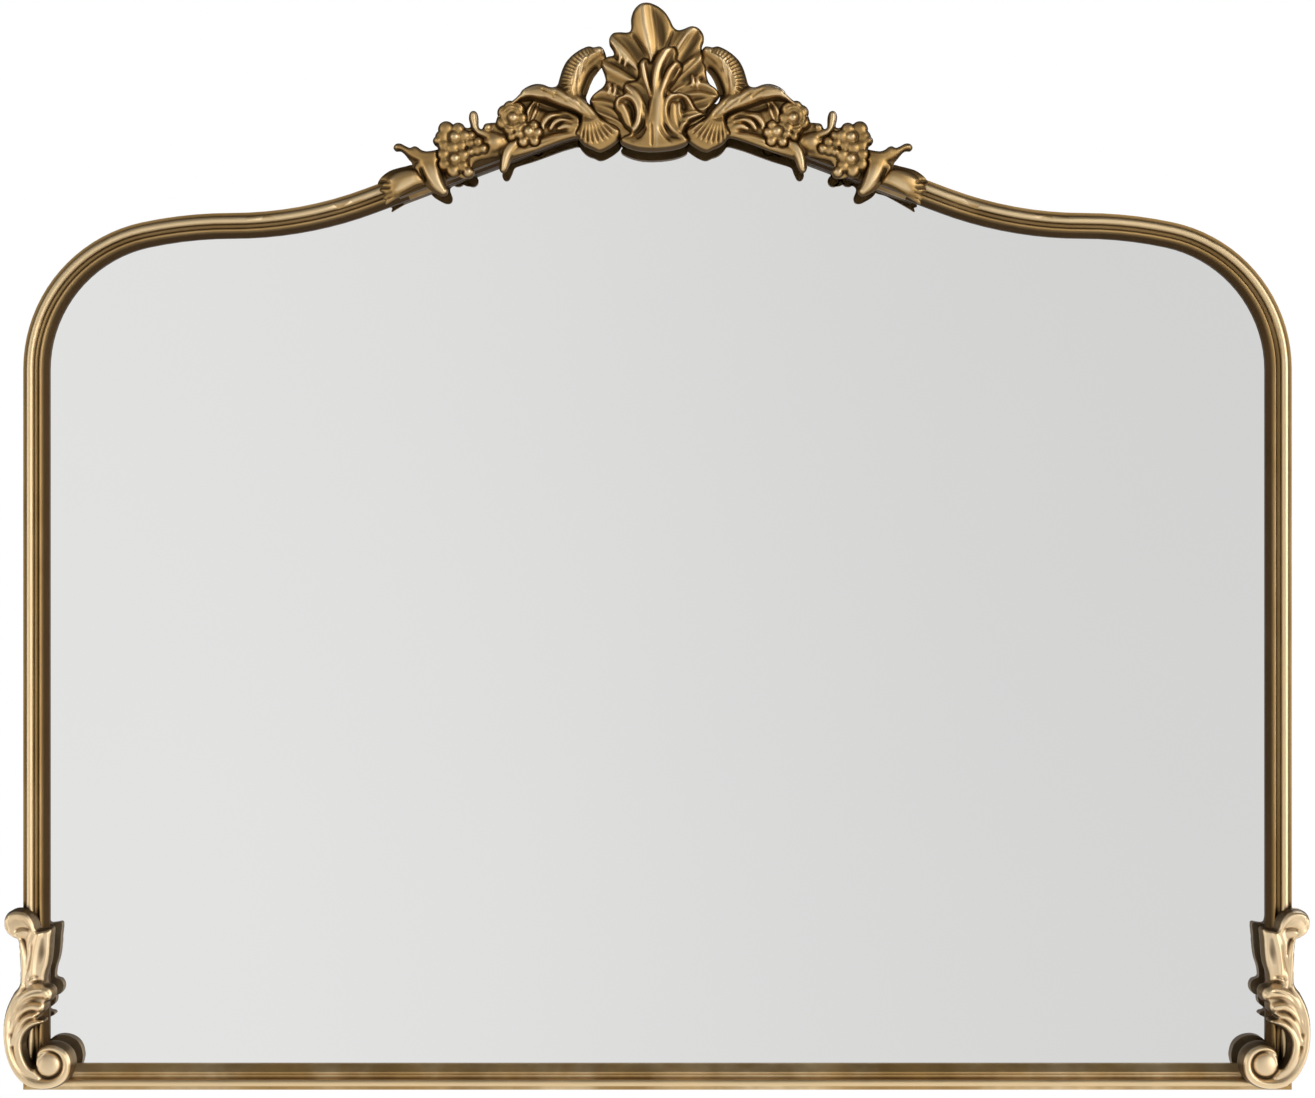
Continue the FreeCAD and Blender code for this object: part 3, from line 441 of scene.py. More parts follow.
def carve_shell():
    """Lobes and folds of the shell, with short pleats between them."""
    shell = Relief(5.0, SHELL_OUTLINE)
    shell.blades(
        TOP_LOBE,
        [(655, 80, 7, 7), (655, 58, 11, 8.8), (654, 41, 16.5, 10), (651.5, 25, 20.5, 10.4),
         (650, 13, 20, 10.4)],
        [(646, 77, 5, 6.5), (634, 61, 10, 8.2), (623, 48, 13.5, 9.4), (613, 39, 11, 9.6)],
        [(645, 88, 4, 6.5), (632, 78, 9, 7.6), (619, 70, 11, 8.6), (605, 63, 10, 8.8)])
    shell.blades(
        TWO_FOLDS,
        [(634, 108, 4, 6), (617, 101, 9.5, 7.2), (603, 97, 11, 7.8), (594, 98, 8, 7.6)],
        [(627, 124, 4, 6), (611, 114, 8, 7), (598, 109, 8, 7)])
    shell.blade([(665, 75, 5, 6.5), (676, 58, 10, 8.2), (685, 44, 13.5, 9.4),
                 (693, 35, 12.5, 9.6)], TOP_LOBE)
    shell.blade([(664, 91, 4, 6.5), (677, 79, 9, 7.6), (691, 69, 12, 8.6),
                 (702, 60, 10, 8.8)], HOLLOW)
    shell.blades(
        TWO_FOLDS,
        [(666, 101, 4, 6), (682, 92, 9, 7.2), (699, 89, 11, 8.2), (712, 92, 9, 8)],
        [(670, 115, 4, 6), (690, 108, 8.5, 7), (708, 103, 9, 7)])
    shell.grooves(
        1.5, 1.6,
        [(631, 31), (637, 40), (645, 52), (651, 62)], [(674, 29), (670, 39), (665, 50)],
        [(613, 55), (624, 63), (639, 73)], [(605, 80), (616, 86), (631, 92)],
        [(702, 52), (692, 63), (676, 79)], [(706, 76), (692, 82), (674, 94)],
        [(673, 51), (679, 41), (686, 31)], [(677, 55), (684, 45), (691, 34)])
    for x, y in ((619.5, 53), (625, 56), (609, 84), (614.5, 85.5), (692, 76), (697, 77)):
        shell.blade([(x, y, 2.2, 8), (x + 1, y + 5, 2.8, 9), (x, y + 10, 2.2, 8)])
        # Painted highlight along each small bead
        shell.paint_patina_and_light([(x, y, 2.4, -0.3), (x + 1, y + 5, 2.8, -0.4), (x, y + 10, 2.2, -0.3)])
    # Patina and painted shade in the concave parts of the lobes and under the lower folds, painted highlight
    # on the ridges
    shell.paint_patina_and_light(
        [(649, 7, 5, 0.25), (656, 18, 8, 0.55), (662, 32, 9, 0.65), (666, 46, 8, 0.65)],
        [(642, 9, 5, -0.2), (645, 25, 5.5, -0.35), (648, 45, 5, -0.35)],
        [(621, 34, 4, 0.3), (631, 44, 7, 0.55), (641, 58, 7, 0.6)],
        [(613, 38, 4, -0.2), (622, 51, 4.5, -0.3), (634, 68, 4, -0.2)],
        [(612, 63, 4, 0.3), (624, 70, 6, 0.55), (637, 80, 5, 0.55)],
        [(699, 32, 5, 0.4), (693, 46, 7, 0.6), (684, 62, 7, 0.55)],
        [(703, 62, 5, 0.3), (696, 72, 6, 0.5), (684, 80, 5, 0.45)],
        [(596, 104, 8, 0.2), (612, 106, 10, 0.35), (628, 118, 9, 0.4)],
        [(708, 98, 8, 0.25), (695, 104, 9, 0.4), (680, 116, 8, 0.4)])
    return shell


ACANTHUS_OUTLINE = [
    (622, 138), (631, 133), (624, 126), (619, 117), (614.5, 109), (614.8, 102), (618.5, 97.5), (624, 95),
    (623.6, 89), (625.5, 84), (631, 82), (637, 80), (638.7, 74), (638.7, 66), (641, 60.5), (645, 58.3),
    (648.5, 60), (650.5, 63.5), (656, 55), (662, 49.5), (669.5, 47.2), (675.5, 48.2), (677.7, 54),
    (676.5, 60), (680.5, 63), (682.5, 68), (680.5, 74), (675, 82), (669, 89.5), (673.5, 94), (680.5, 93.2),
    (687.5, 96.2), (692, 102), (694.5, 107), (699.5, 111.5), (706, 114.5), (700, 118), (691.5, 121.5),
    (689, 124.5), (685.5, 130), (684, 134), (688.5, 141), (684.5, 145.5), (672, 149.3), (655, 151),
    (640, 150.3), (628, 147), (620.5, 142.5)]


def carve_acanthus():
    """Foot, stem, curls and tall leaves of the acanthus."""
    leaf = Relief(9.5, ACANTHUS_OUTLINE)
    leaf.blades(
        ROUND,
        [(620, 143, 6, 11), (638, 144, 8, 11.8), (655, 145, 8, 12), (671, 144.5, 8, 11.8),
         (688, 142, 5, 11)],
        [(654, 150, 30, 11.6), (654.5, 141, 22, 12.6), (655, 131, 15, 13.6), (656, 118, 12, 14.6),
         (657.5, 104, 10.5, 15), (658.5, 92, 8, 14.2), (659.5, 82, 5, 12.6), (660, 74, 3, 11)],
        [(629, 131, 5, 11.2), (626.5, 119, 5.6, 12), (622, 108, 5, 12.6)],
        [(677, 131, 5, 11.2), (673, 119, 5.4, 12.4), (673, 107, 4.6, 12.6)],
        [(682, 124, 3.6, 11), (678.5, 114, 3.8, 12), (679, 105, 2.8, 12)])
    leaf.groove([(634.5, 123), (633, 111), (627.5, 102)], 2.8, 2.6)
    leaf.groove([(684.5, 112), (683.5, 105), (679.5, 100)], 2.8, 2.8)
    leaf.blade([(650, 138, 6, 12.4), (648, 119, 7, 13.4), (643.5, 104, 8.5, 14.2), (636, 92.5, 9.5, 14.6),
                (628, 87.5, 6.5, 14)], HOLLOW)
    leaf.blades(
        ROUND,
        [(621, 139, 3, 11.2), (630, 134, 3.8, 12.4), (637, 126, 4.2, 13.4), (639.4, 115, 4.2, 14),
         (637, 105, 4, 14.2), (631.5, 98.6, 3.8, 14), (624.5, 97, 3.5, 13.5), (618.5, 99.5, 3.2, 13),
         (616.5, 105, 3, 12.5), (618.5, 111, 2.6, 12), (622, 113.5, 2, 11.5)],
        [(687, 140, 3, 11.2), (675, 134, 3.8, 12.4), (667.8, 125, 4.2, 13.4), (664.8, 113, 4.2, 14),
         (667.2, 102, 4, 14.2), (673.8, 96, 3.8, 14), (681, 95.2, 3.5, 13.5), (687.4, 99, 3.2, 13),
         (691.2, 105, 3, 12.5), (694, 109.5, 2, 11.5)])
    leaf.blade([(683, 117, 3.4, 10.8), (693, 114.5, 3.6, 11.8), (703.5, 114.5, 1.8, 10.8)], GUTTER)
    leaf.blades(
        ROUND,
        [(681, 121, 3.6, 11), (689.5, 119.4, 3, 12), (698, 117.5, 1.6, 10.8)],
        [(681, 131, 3, 11), (683, 125.5, 3.2, 12.4), (687.5, 124, 2.2, 11.5)])
    leaf.blade([(652, 96, 5, 13), (647.5, 79, 7, 14), (645, 66.5, 7, 14)], HOLLOW)
    leaf.blade([(668, 95, 3.4, 12.5), (674, 84.5, 3.4, 13.2), (680.6, 71, 3, 13.2)])
    leaf.blades(
        HOLLOW,
        [(661, 103, 6, 14), (666, 88.5, 7.8, 15), (671.5, 75.5, 8.2, 15), (676, 68.5, 6.4, 14.4)],
        [(658, 98, 7.5, 14.8), (659, 82, 10, 15.5), (662.5, 68, 11, 15.5), (668.5, 56, 10, 15)])
    leaf.grooves(
        1.2, 2.0,
        [(651.5, 122), (652.3, 136), (652.2, 149)], [(647, 127), (643, 135), (636, 141)],
        [(642.5, 126), (638, 132), (631, 136)], [(659, 128), (664, 136), (671.5, 143)],
        [(663.5, 125), (671, 133), (680, 138.5)], [(643.5, 104), (645, 118), (643, 130)])
    leaf.groove([(660, 78), (664, 66), (671, 53)], 1.0, 1.2)
    # Patina and painted shade along the foot, beside the stem, inside the curls and on the upper leaf;
    # painted highlight down the stem
    leaf.paint_patina_and_light(
        [(622, 143, 5, 0.5), (634, 146, 6, 0.5), (648, 149, 5, 0.4), (666, 149.5, 4, 0.4),
         (684, 144, 4, 0.4)],
        [(644, 98, 4, 0.25), (648, 118, 5, 0.35), (643, 134, 7, 0.45), (633, 142, 5, 0.4)],
        [(665, 120, 3, 0.25), (668, 134, 6, 0.45), (679, 141, 5, 0.35)],
        [(659, 92, 4.5, -0.25), (658.5, 112, 5, -0.4), (657, 134, 4.5, -0.4), (657, 147, 3, -0.2)],
        [(619, 106, 4, 0.35), (622, 118, 5, 0.4), (629, 129, 5, 0.4)],
        [(688, 107, 4, 0.35), (684, 118, 5, 0.4), (678, 129, 5, 0.35)],
        [(675, 52, 5, 0.3), (671, 66, 5, 0.4), (666, 80, 4, 0.3)])
    return leaf


BIRD_OUTLINE = [
    (496, 120), (499, 113.5), (508, 104), (516, 98), (519.5, 93.5), (522, 89.5), (528, 85.3), (536, 83),
    (543, 84), (549, 87), (554, 87), (557.5, 83.5), (559.5, 77), (562, 69), (566, 61), (572, 54.5),
    (579, 49.5), (586, 46), (590, 45.5), (594, 46.8), (600, 45.8), (603.5, 48.5), (605.5, 53), (606.3, 58),
    (603.5, 64), (599, 69.5), (594, 76), (590.5, 83), (588, 90), (586, 96), (587.5, 101.5), (591, 105),
    (596, 112), (601, 118.5), (608, 122), (615, 125), (620, 129.5), (621, 134.5), (618.5, 140),
    (612, 145.5), (604, 150), (598.5, 151), (593, 148.5), (587.5, 146.5), (582.5, 143), (578.5, 138),
    (576, 133.5), (579, 127), (581, 120), (578, 115), (570, 111.5), (560, 109), (550, 106), (541, 102.5),
    (532, 99.5), (525, 100), (518, 103), (509, 110), (501, 118)]


def carve_bird():
    """Fanned tail, barbed wing, body, head and beak of a bird."""
    bird = Relief(4.0, BIRD_OUTLINE)
    bird.fan((587, 108), aim=14.5, spread=44, reach=44, ribs=10, rise=9.6, depth=3.2)
    bird.blade([(574, 101, 8, 9.4), (571, 86, 12.5, 10.8), (575, 72, 13.5, 11.2), (584, 60, 14, 10.8),
                (596, 53, 9.5, 9.8)], WING, barbs=(18, 2.4, -0.97, 0.0))
    bird.blades(
        ROUND,
        [(602, 122, 5, 8.8), (588, 112, 8, 9.8), (575, 103.5, 10.5, 11.2), (561, 97.5, 11, 11.8),
         (549, 93.5, 10, 11.8)],
        [(551, 93, 10, 11.6), (538, 92.5, 9.5, 12.4), (527, 93.5, 6.6, 11.6)],
        [(527, 94.5, 5, 10.8), (518, 98.4, 3.6, 10), (508, 107, 3, 9), (499, 116.5, 2.2, 8)])
    bird.dome(529.5, 90.5, 1.5, 12.4)
    bird.groove([(600, 65), (592.5, 73), (588, 82), (585, 90), (583, 96.5)], 2.4, 6.0)
    bird.groove([(523, 103), (540, 105), (555, 109.5), (570, 114), (579, 118)], 2.2, 3.6)
    bird.grooves(
        1.0, 1.3,
        [(577, 60), (574, 75), (571, 90)], [(582, 58), (579.5, 72), (577, 86)],
        [(590, 52), (586, 62), (583, 74)], [(562, 90), (568, 95), (575, 101)],
        [(569, 93), (576, 99), (583, 106)], [(553, 93), (561, 98), (568, 104)],
        [(566, 99), (575, 105), (584, 113)], [(578, 103), (586, 110), (594, 118)],
        [(541, 90), (549, 94), (556, 100)], [(556, 88), (563, 92), (569, 97)])
    # Painted shadow under the body, painted shade on the head's top, the wing's shaded strips and the tail;
    # painted highlight on the wing's lit strip and along the body
    bird.paint_patina_and_light(
        [(521, 101, 4, 0.4), (536, 103, 5, 0.7), (552, 107.5, 5.5, 0.75), (566, 112, 5.5, 0.75),
         (578, 117, 5, 0.6)],
        [(523, 89, 3, 0.4), (536, 84.5, 4, 0.5), (549, 88, 3.5, 0.4)],
        [(599, 52, 5, 0.2), (592, 62, 6, 0.4), (587, 74, 6, 0.45), (582, 88, 5, 0.4)],
        [(567, 63, 5, 0.2), (565, 76, 7, 0.4), (564, 88, 7, 0.35)],
        [(588, 50, 5, -0.3), (582, 62, 5.5, -0.5), (579, 76, 5.5, -0.5), (578, 88, 5, -0.4)],
        [(560, 97, 4, -0.2), (575, 104, 4.5, -0.35), (592, 114, 4, -0.35)],
        [(580, 120, 6, 0.4), (582, 131, 8, 0.4), (588, 144, 7, 0.35)])
    return bird


GARLAND_OUTLINE = [
    (580, 118), (570, 110), (550, 104), (534, 99), (524, 99), (514, 101), (505, 108), (499, 115),
    (496, 121), (490, 122), (484.5, 123.5), (481.5, 128.5), (478.5, 126), (478, 117), (476.5, 112),
    (473, 110.5), (469.5, 112.5), (468.5, 118), (470, 125.5), (467, 127), (463, 125.5), (459, 123.5),
    (455, 124), (448, 121.8), (441, 125.5), (438.5, 126.5), (438, 131), (438.5, 135), (434.5, 136.5),
    (433, 140.5), (434.5, 144.5), (438.5, 147.5), (433, 150), (426, 151), (421, 149.5), (417, 146.5),
    (413.5, 145.5), (410, 147.5), (405.5, 145.8), (400, 142.8), (395.5, 143.2), (393, 147), (395, 150.2),
    (400, 150.5), (404, 153.5), (408, 158.5), (411, 162), (413, 168), (419, 176), (424, 183), (428, 188),
    (434, 192), (441, 195.2), (446, 194), (447.5, 189.5), (446, 185), (445, 180.5), (448, 177),
    (453, 176.5), (458, 175.5), (462, 177), (466.5, 177.3), (471, 175), (473, 171), (471, 166.5),
    (473, 162), (478, 159), (486, 157.5), (493, 156), (498, 155.5), (501, 152.5), (499.5, 160),
    (498.5, 167), (501, 171.5), (505, 171), (508.5, 165), (511, 159), (516, 156.5), (530, 152),
    (545, 146.5), (560, 141), (574, 137), (580, 136)]


def carve_leaves():
    """Stems and leaves of a garland."""
    leaves = Relief(3.4, GARLAND_OUTLINE)
    leaves.blades(
        ROUND,
        [(514, 151.5, 5.5, 6.2), (532, 146.5, 6.5, 6.6), (552, 140, 7, 6.8), (580, 131, 6, 6.8)],
        [(500, 141, 9, 6.2), (482, 147, 10, 6), (462, 153, 10, 6), (440, 158, 9, 6.4)],
        [(436, 158, 11, 7.6), (422, 155, 9.5, 7.8), (412, 151.5, 7, 7.4), (403, 147.5, 5, 6.9),
         (396, 146.5, 3.8, 6.2)])
    leaves.dome(416.5, 151, 6, 7.2)
    leaves.blades(
        ROUND,
        [(427, 156, 12, 7.4), (430, 166, 11.5, 8.6), (433.5, 176, 9.5, 9.2), (438.5, 185, 7, 8.8),
         (443.5, 191, 4.4, 7.8)],
        [(424, 162, 6, 6.8), (418, 168, 5.2, 6.2), (419, 177, 4, 5.4)])
    leaves.groove([(440.5, 168), (443.5, 175), (446, 182)], 2.2, 2.4)
    leaves.groove([(419.5, 166), (421.5, 174), (426, 181.5)], 1.4, 1.8)
    leaves.groove([(437, 160), (441, 166), (444, 174)], 1.6, 1.6)
    leaves.blades(
        ROUND,
        [(501, 139, 5.4, 6.6), (488, 135, 5, 6.8), (478, 130, 5, 7.2), (474, 121, 5.2, 7.8),
         (473.4, 114, 4.8, 7.8)],
        [(516, 142, 5.6, 7.4), (509.5, 149, 6.2, 7.9), (505.5, 157, 5.6, 7.9), (503.5, 168, 3.8, 7.2)])
    leaves.blade([(529, 120, 4.8, 7), (532, 111, 6.4, 8), (536, 102, 3.8, 7.4)], GUTTER)
    leaves.blades(
        ROUND,
        [(581, 121, 4.8, 7), (563, 113.8, 5, 7.7), (550, 115.5, 5.2, 7.7), (543, 123, 4.2, 7.2),
         (543, 128, 2.6, 6.5)],
        [(579, 126, 4.4, 7), (564, 119.5, 4.2, 7.9), (555, 122.5, 3.8, 7.9), (550.5, 128.5, 2.6, 6.5)],
        [(578, 130.5, 4.4, 6.6), (567, 126, 4.6, 8), (559, 128.5, 3, 7.2)])
    leaves.dome(494.5, 141.5, 9.5, 8.4)
    leaves.dome(487, 127, 5, 6.6)
    leaves.groove([(530, 103), (545, 107.5), (560, 113), (576, 118)], 3.6, 2.4)
    leaves.groove([(567, 110.5), (553, 111.5), (543.5, 118), (540, 127)], 1.2, 1.5)
    leaves.groove([(575, 118.5), (562, 116.8), (552, 119.5), (546.5, 127)], 1.0, 1.8)
    leaves.groove([(574, 123), (562, 122.5), (554.5, 127)], 1.0, 1.8)
    leaves.groove([(520, 150), (540, 143.5), (560, 137.5)], 0.9, 0.8)
    leaves.groove([(540, 134), (556, 131.5), (572, 133)], 1.4, 1.0)
    # Painted shadow under the bird, painted shade over the star leaf, on its dark spots and beside its lower
    # lobe, with patina and painted shade along the band under the blossoms; painted highlight on the lower
    # lobe, the scroll and the hanging leaf
    leaves.paint_patina_and_light(
        [(520, 103, 6, 0.5), (540, 107, 7, 0.6), (560, 112, 7, 0.6), (578, 119, 6, 0.5)],
        [(439, 154, 9, 0.35), (424, 156, 8, 0.35), (413, 154, 6, 0.3), (398, 146, 5, 0.3)],
        [(415, 162, 5, 0.5), (418, 172, 5, 0.5)],
        [(441, 163, 5, 0.45), (446, 172, 5, 0.55), (447, 180, 4, 0.45)],
        [(430, 168, 5, -0.25), (435, 178, 5.5, -0.45), (443, 189, 5, -0.4)],
        [(474, 112, 5, -0.2), (474, 121, 5, -0.3), (479, 130, 4, -0.2)],
        [(510, 147, 5, -0.2), (505, 158, 5, -0.35), (503, 169, 4, -0.3)],
        [(470, 152, 7, 0.35), (484, 151, 7, 0.35), (497, 149, 6, 0.3)])
    return leaves


# Petals of the blossoms and berries at their middles: place and radius in pixels

PETALS = [
    (446, 129, 7.5), (458, 129.5, 6.6), (464.5, 136, 6), (442.5, 137, 7), (444, 145.5, 6.4),
    (452.5, 148, 6.6), (461, 145.5, 6.4), (437.5, 140.7, 4.4), (443.5, 154.5, 6.4), (444.5, 164, 6.6),
    (453, 170, 6.8), (463.5, 155, 6.2), (463, 165.5, 6.4), (468, 171.7, 5.4), (505, 112.5, 7.2),
    (503, 122.5, 6.8), (509.5, 129, 6), (518, 127.5, 5.6), (521, 118, 6.4), (517.5, 109, 7),
    (510, 107.5, 6.4), (523.5, 125, 4.8), (534, 125.5, 5.2), (538, 132.5, 5.2), (534.5, 140.5, 5.8),
    (523.3, 141.5, 5.6), (519, 134, 5), (470, 143.5, 5.6), (476.5, 149.5, 5.8), (483.5, 148.5, 5),
    (471.5, 135.5, 4.6), (478, 142, 5.2), (470.5, 152, 4.6), (512, 136.5, 5)]
BERRIES = [(455, 137.3, 4.6), (455, 158.7, 4.6), (513.5, 118, 4.3), (529, 131.6, 4.5)]


def carve_flowers():
    """Blossoms of round petals, each about a berry."""
    flowers = Relief(5.6, area=[(430, 98), (547, 181)])
    for x, y, radius in BERRIES:
        flowers.dome(x, y, 2.2 * radius, 7.4, drop=2.0)
    for number, (x, y, radius) in enumerate(PETALS):
        rise = 8.6 + 0.5 * (number % 3)
        flowers.dome(x, y, 1.1 * radius, rise, drop=4.4, spread=1.3, bend=1.0)
    for radius in (8.4, 11.6):
        flowers.ring(512.5, 117, radius, 1.0, 1.0)
    for x, y, radius in BERRIES:
        flowers.dome(x, y, 1.15 * radius, 10.8, drop=4.0)
        # Painted shade on the left of each berry, painted highlight on its middle and right
        flowers.paint_patina_and_light([(x + 1, y - 1.4 * radius, 2, 0.3), (x - radius, y - radius, 2.6, 0.55),
                      (x - 1.4 * radius, y, 3, 0.6), (x - 0.9 * radius, y + 1.1 * radius, 2.4, 0.4)])
        flowers.paint_patina_and_light([(x + 0.1 * radius, y - 0.2 * radius, 3, -0.4),
                      (x + 0.5 * radius, y + 0.2 * radius, 3, -0.4)])
    # Patina and painted shade along the edges of the blossoms
    flowers.paint_patina_and_light(
        [(441, 128, 6, 0.3), (437, 140, 7, 0.35), (442, 155, 7, 0.35), (447, 168, 6, 0.3)],
        [(503, 106, 6, 0.3), (499, 118, 7, 0.35), (505, 130, 6, 0.35), (517, 139, 6, 0.35)],
        [(468, 150, 6, 0.35), (474, 145, 7, 0.35), (484, 146, 6, 0.3)])
    return flowers


END_LEAF_OUTLINE = [
    (413, 164), (405, 165.3), (396, 167.5), (390, 169.5), (385, 172.5), (380, 177), (377, 182.5),
    (380, 186), (379, 190), (383.5, 193), (382.5, 198), (385.5, 199.5), (385, 203.5), (390, 200.5),
    (396, 197), (405, 192), (415, 187), (425, 183.5), (427, 178), (421, 170)]


def carve_end_leaf():
    """Leaf that wraps the moulding at the end of the crest."""
    leaf = Relief(2.4, END_LEAF_OUTLINE)
    leaf.blades(
        ROUND,
        [(422, 176, 8, 7), (410, 178, 11, 8.6), (399, 182, 12, 8.4), (389, 187.5, 10.5, 6.2),
         (381, 191.5, 7, 3.8)],
        [(384, 202, 3, 4.2), (400, 195, 3.6, 5.6), (424, 185.5, 3.6, 5.8)])
    leaf.groove([(388, 199), (404, 191.5), (422, 184)], 1.1, 1.8)
    leaf.grooves(
        1.5, 2.0,
        [(378, 181), (384, 181), (391, 183)], [(380, 187.5), (385, 187.5), (392, 188)],
        [(383, 194.5), (388, 193), (393, 191.5)])
    # Patina and painted shade at the ragged end and along the top edge, painted highlight on the belly
    leaf.paint_patina_and_light(
        [(379, 182, 6, 0.5), (384, 188, 9, 0.5), (391, 189, 6, 0.3)],
        [(384, 174, 5, 0.4), (396, 169, 5, 0.45), (412, 167, 5, 0.45)],
        [(413, 180, 6, -0.3), (404, 186, 7, -0.5), (398, 191, 5, -0.35)])
    return leaf


# Corner: a ball curl over a cupped leaf, a scroll below it and a volute at its end

CORNER_OUTLINE = [
    (20, 984), (14, 993.5), (8.5, 1005), (5, 1017), (3.5, 1031), (4.5, 1046), (7.5, 1059), (12, 1070),
    (18, 1079.5), (26, 1086), (36, 1089.3), (48, 1089.5), (59, 1086.5), (67.5, 1080.5), (72.5, 1071.5),
    (73.5, 1062), (71, 1053), (65.5, 1047), (58, 1043.5), (50, 1043), (43, 1045.3), (38, 1050),
    (35.7, 1056), (35.2, 1062), (34.2, 1066.8), (30.5, 1063.5), (26.8, 1055.5), (25, 1047), (25, 1040),
    (27.5, 1033.5), (32.5, 1028.3), (39, 1025), (44.5, 1022.3), (44, 1019.5), (40, 1018.3), (38, 1016.3),
    (41.5, 1014), (45, 1010.5), (46.3, 1006), (46.5, 1002.5), (50.5, 1001), (53.5, 996.5), (53.8, 991),
    (51, 986.5), (46, 984.5), (45.2, 979), (46.5, 972), (49, 964), (50.5, 954), (51.3, 941), (52, 929),
    (46, 929), (40, 930), (37.5, 928), (36, 922), (32.5, 915.5), (27.5, 911), (20, 909.3), (13, 910),
    (7.5, 913.5), (4.5, 919.5), (4.5, 926.5), (7.5, 933), (13, 937.5), (18, 940), (19.5, 950), (20, 966)]


def carve_corner():
    """Curl, cupped leaf, scroll and volute on a bottom corner."""
    scroll = Relief(11.0, CORNER_OUTLINE)
    scroll.blade([(34, 986, 9, 12.6), (34.5, 964, 11.5, 13.2), (37, 948, 13.5, 13.8),
                  (41, 932, 13, 14.4)], CUP)
    scroll.blade([(19, 936, 4, 13), (23, 952, 4.4, 13.4), (24, 968, 4, 13.2), (22, 986, 3.4, 12.6)])
    scroll.dome(18.5, 925, 14.8, 14, drop=3.0)
    scroll.blades(
        ROUND,
        [(7.5, 932, 4, 13.4), (8.5, 919.5, 5, 14.4), (16.5, 914, 5.5, 15), (26, 915.5, 6, 15.2),
         (32.5, 922.5, 5, 15), (36, 931, 3.5, 14.4)],
        [(22, 986, 4.4, 13.6), (13.5, 999, 5.4, 14.6), (9, 1014, 5.6, 15), (7.8, 1030, 5.4, 15),
         (9, 1046, 5.4, 15), (13, 1060, 5.4, 15), (21, 1073, 5.6, 14.8), (32, 1081.5, 5.8, 14.8),
         (46, 1083.5, 6, 14.8), (58.5, 1080, 5.8, 14.8), (66.5, 1071.5, 5.6, 14.8), (68, 1061, 5.4, 14.8),
         (63, 1051.5, 5, 14.8), (53.5, 1047.3, 4.6, 14.8), (45, 1049.5, 4.2, 14.6),
         (39.8, 1055.5, 3.8, 14.2), (38.5, 1063, 3, 13.6)],
        [(45, 1021, 2.8, 13.2), (34, 1023, 4.6, 14), (25, 1030.5, 5.4, 14.2), (19.5, 1043, 6.2, 14.2),
         (21, 1056, 7, 14), (27, 1068, 7, 13.6), (38, 1076, 5, 13)],
        [(12, 1016, 4.4, 14), (20, 1001.5, 6.8, 15), (32, 993, 7.4, 15.2), (44, 991.5, 7, 15.2),
         (48, 994, 5.4, 14.8)],
        [(12, 1030, 4.4, 14), (20, 1013, 5.6, 14.8), (30, 1005.5, 5.6, 15), (40.5, 1006.5, 4.8, 14.6)],
        [(13, 1042, 4.4, 13.8), (20, 1024, 5, 14.4), (29, 1015.5, 4.4, 14.4), (39.5, 1015, 3, 13.8)])
    scroll.dome(49.7, 1064, 12.2, 14.8, drop=3.6)
    scroll.grooves(
        0.9, 1.6,
        [(46, 989.5), (36, 990.5), (27, 994.5), (19, 1003.5)],
        [(42, 996), (32, 997), (23, 1003), (15, 1012.5)],
        [(37, 1001), (28, 1003.5), (19, 1012), (12, 1032)],
        [(30, 1010), (22, 1016), (15, 1028), (12, 1042)], [(36, 1012), (27, 1014), (20, 1020)],
        [(9.5, 914), (8, 922), (10, 931)], [(22, 935), (26.5, 945), (27.8, 957)],
        [(33, 940), (31.5, 958), (27, 976)])
    scroll.ring(49.7, 1063.6, 13.6, 1.0, 2.4)
    scroll.groove([(43, 1022.5), (33, 1027), (27, 1034), (25, 1043), (26.5, 1054), (32, 1065)], 1.6, 2.0)
    scroll.groove([(16.5, 931.5), (20, 928.3), (26, 927.8), (31, 930)], 1.2, 2.4)
    scroll.groove([(16.5, 932.5), (20, 936.5), (24.5, 941)], 0.9, 1.8)
    scroll.groove([(29, 979.5), (34, 976.5), (41, 976.5)], 1.0, 2.0)
    scroll.groove([(31, 984), (38, 981.5), (46, 983.5)], 1.8, 3.0)
    # Patina and painted shade inside the cupped leaf, along the outer and inner scrolls, on the ball curl and
    # round the volute
    scroll.paint_patina_and_light(
        [(44, 940, 5, 0.35), (43, 952, 6, 0.6), (41, 962, 4, 0.3)],
        [(7, 1048, 6, 0.25), (11, 1066, 8, 0.45), (23, 1082, 7, 0.45), (34, 1088, 5, 0.3)],
        [(30, 1031, 4, 0.3), (24, 1042, 5, 0.45), (25, 1054, 5, 0.5), (32, 1066, 5, 0.45)],
        [(22, 914, 4, 0.2), (28, 918, 6, 0.4), (33, 925, 6, 0.4)],
        [(60, 1046, 5, 0.3), (69, 1056, 5, 0.3), (70, 1068, 5, 0.25)])
    return scroll


# Materials

class Nodes:
    """A node tree and short ways to add to it."""

    def __init__(self, tree):
        self.tree = tree

    def node(self, kind, **settings):
        made = self.tree.nodes.new(kind)
        for name, value in settings.items():
            setattr(made, name, value)
        return made

    def link(self, source, target):
        self.tree.links.new(source, target)

    def map(self, value, low, high, to_low=0.0, to_high=1.0):
        """A value eased from one range to another."""
        made = self.node("ShaderNodeMapRange", interpolation_type="SMOOTHSTEP")
        self.link(value, made.inputs["Value"])
        for name, number in (("From Min", low), ("From Max", high), ("To Min", to_low), ("To Max", to_high)):
            made.inputs[name].default_value = number
        return made.outputs["Result"]

    def math(self, kind, first, second):
        made = self.node("ShaderNodeMath", operation=kind)
        for socket, value in zip(made.inputs, (first, second)):
            if isinstance(value, (int, float)):
                socket.default_value = value
            else:
                self.link(value, socket)
        return made.outputs["Value"]

    def parts(self, vector):
        """The X, Y and Z of a vector, by name."""
        made = self.node("ShaderNodeSeparateXYZ")
        self.link(vector, made.inputs["Vector"])
        return made.outputs


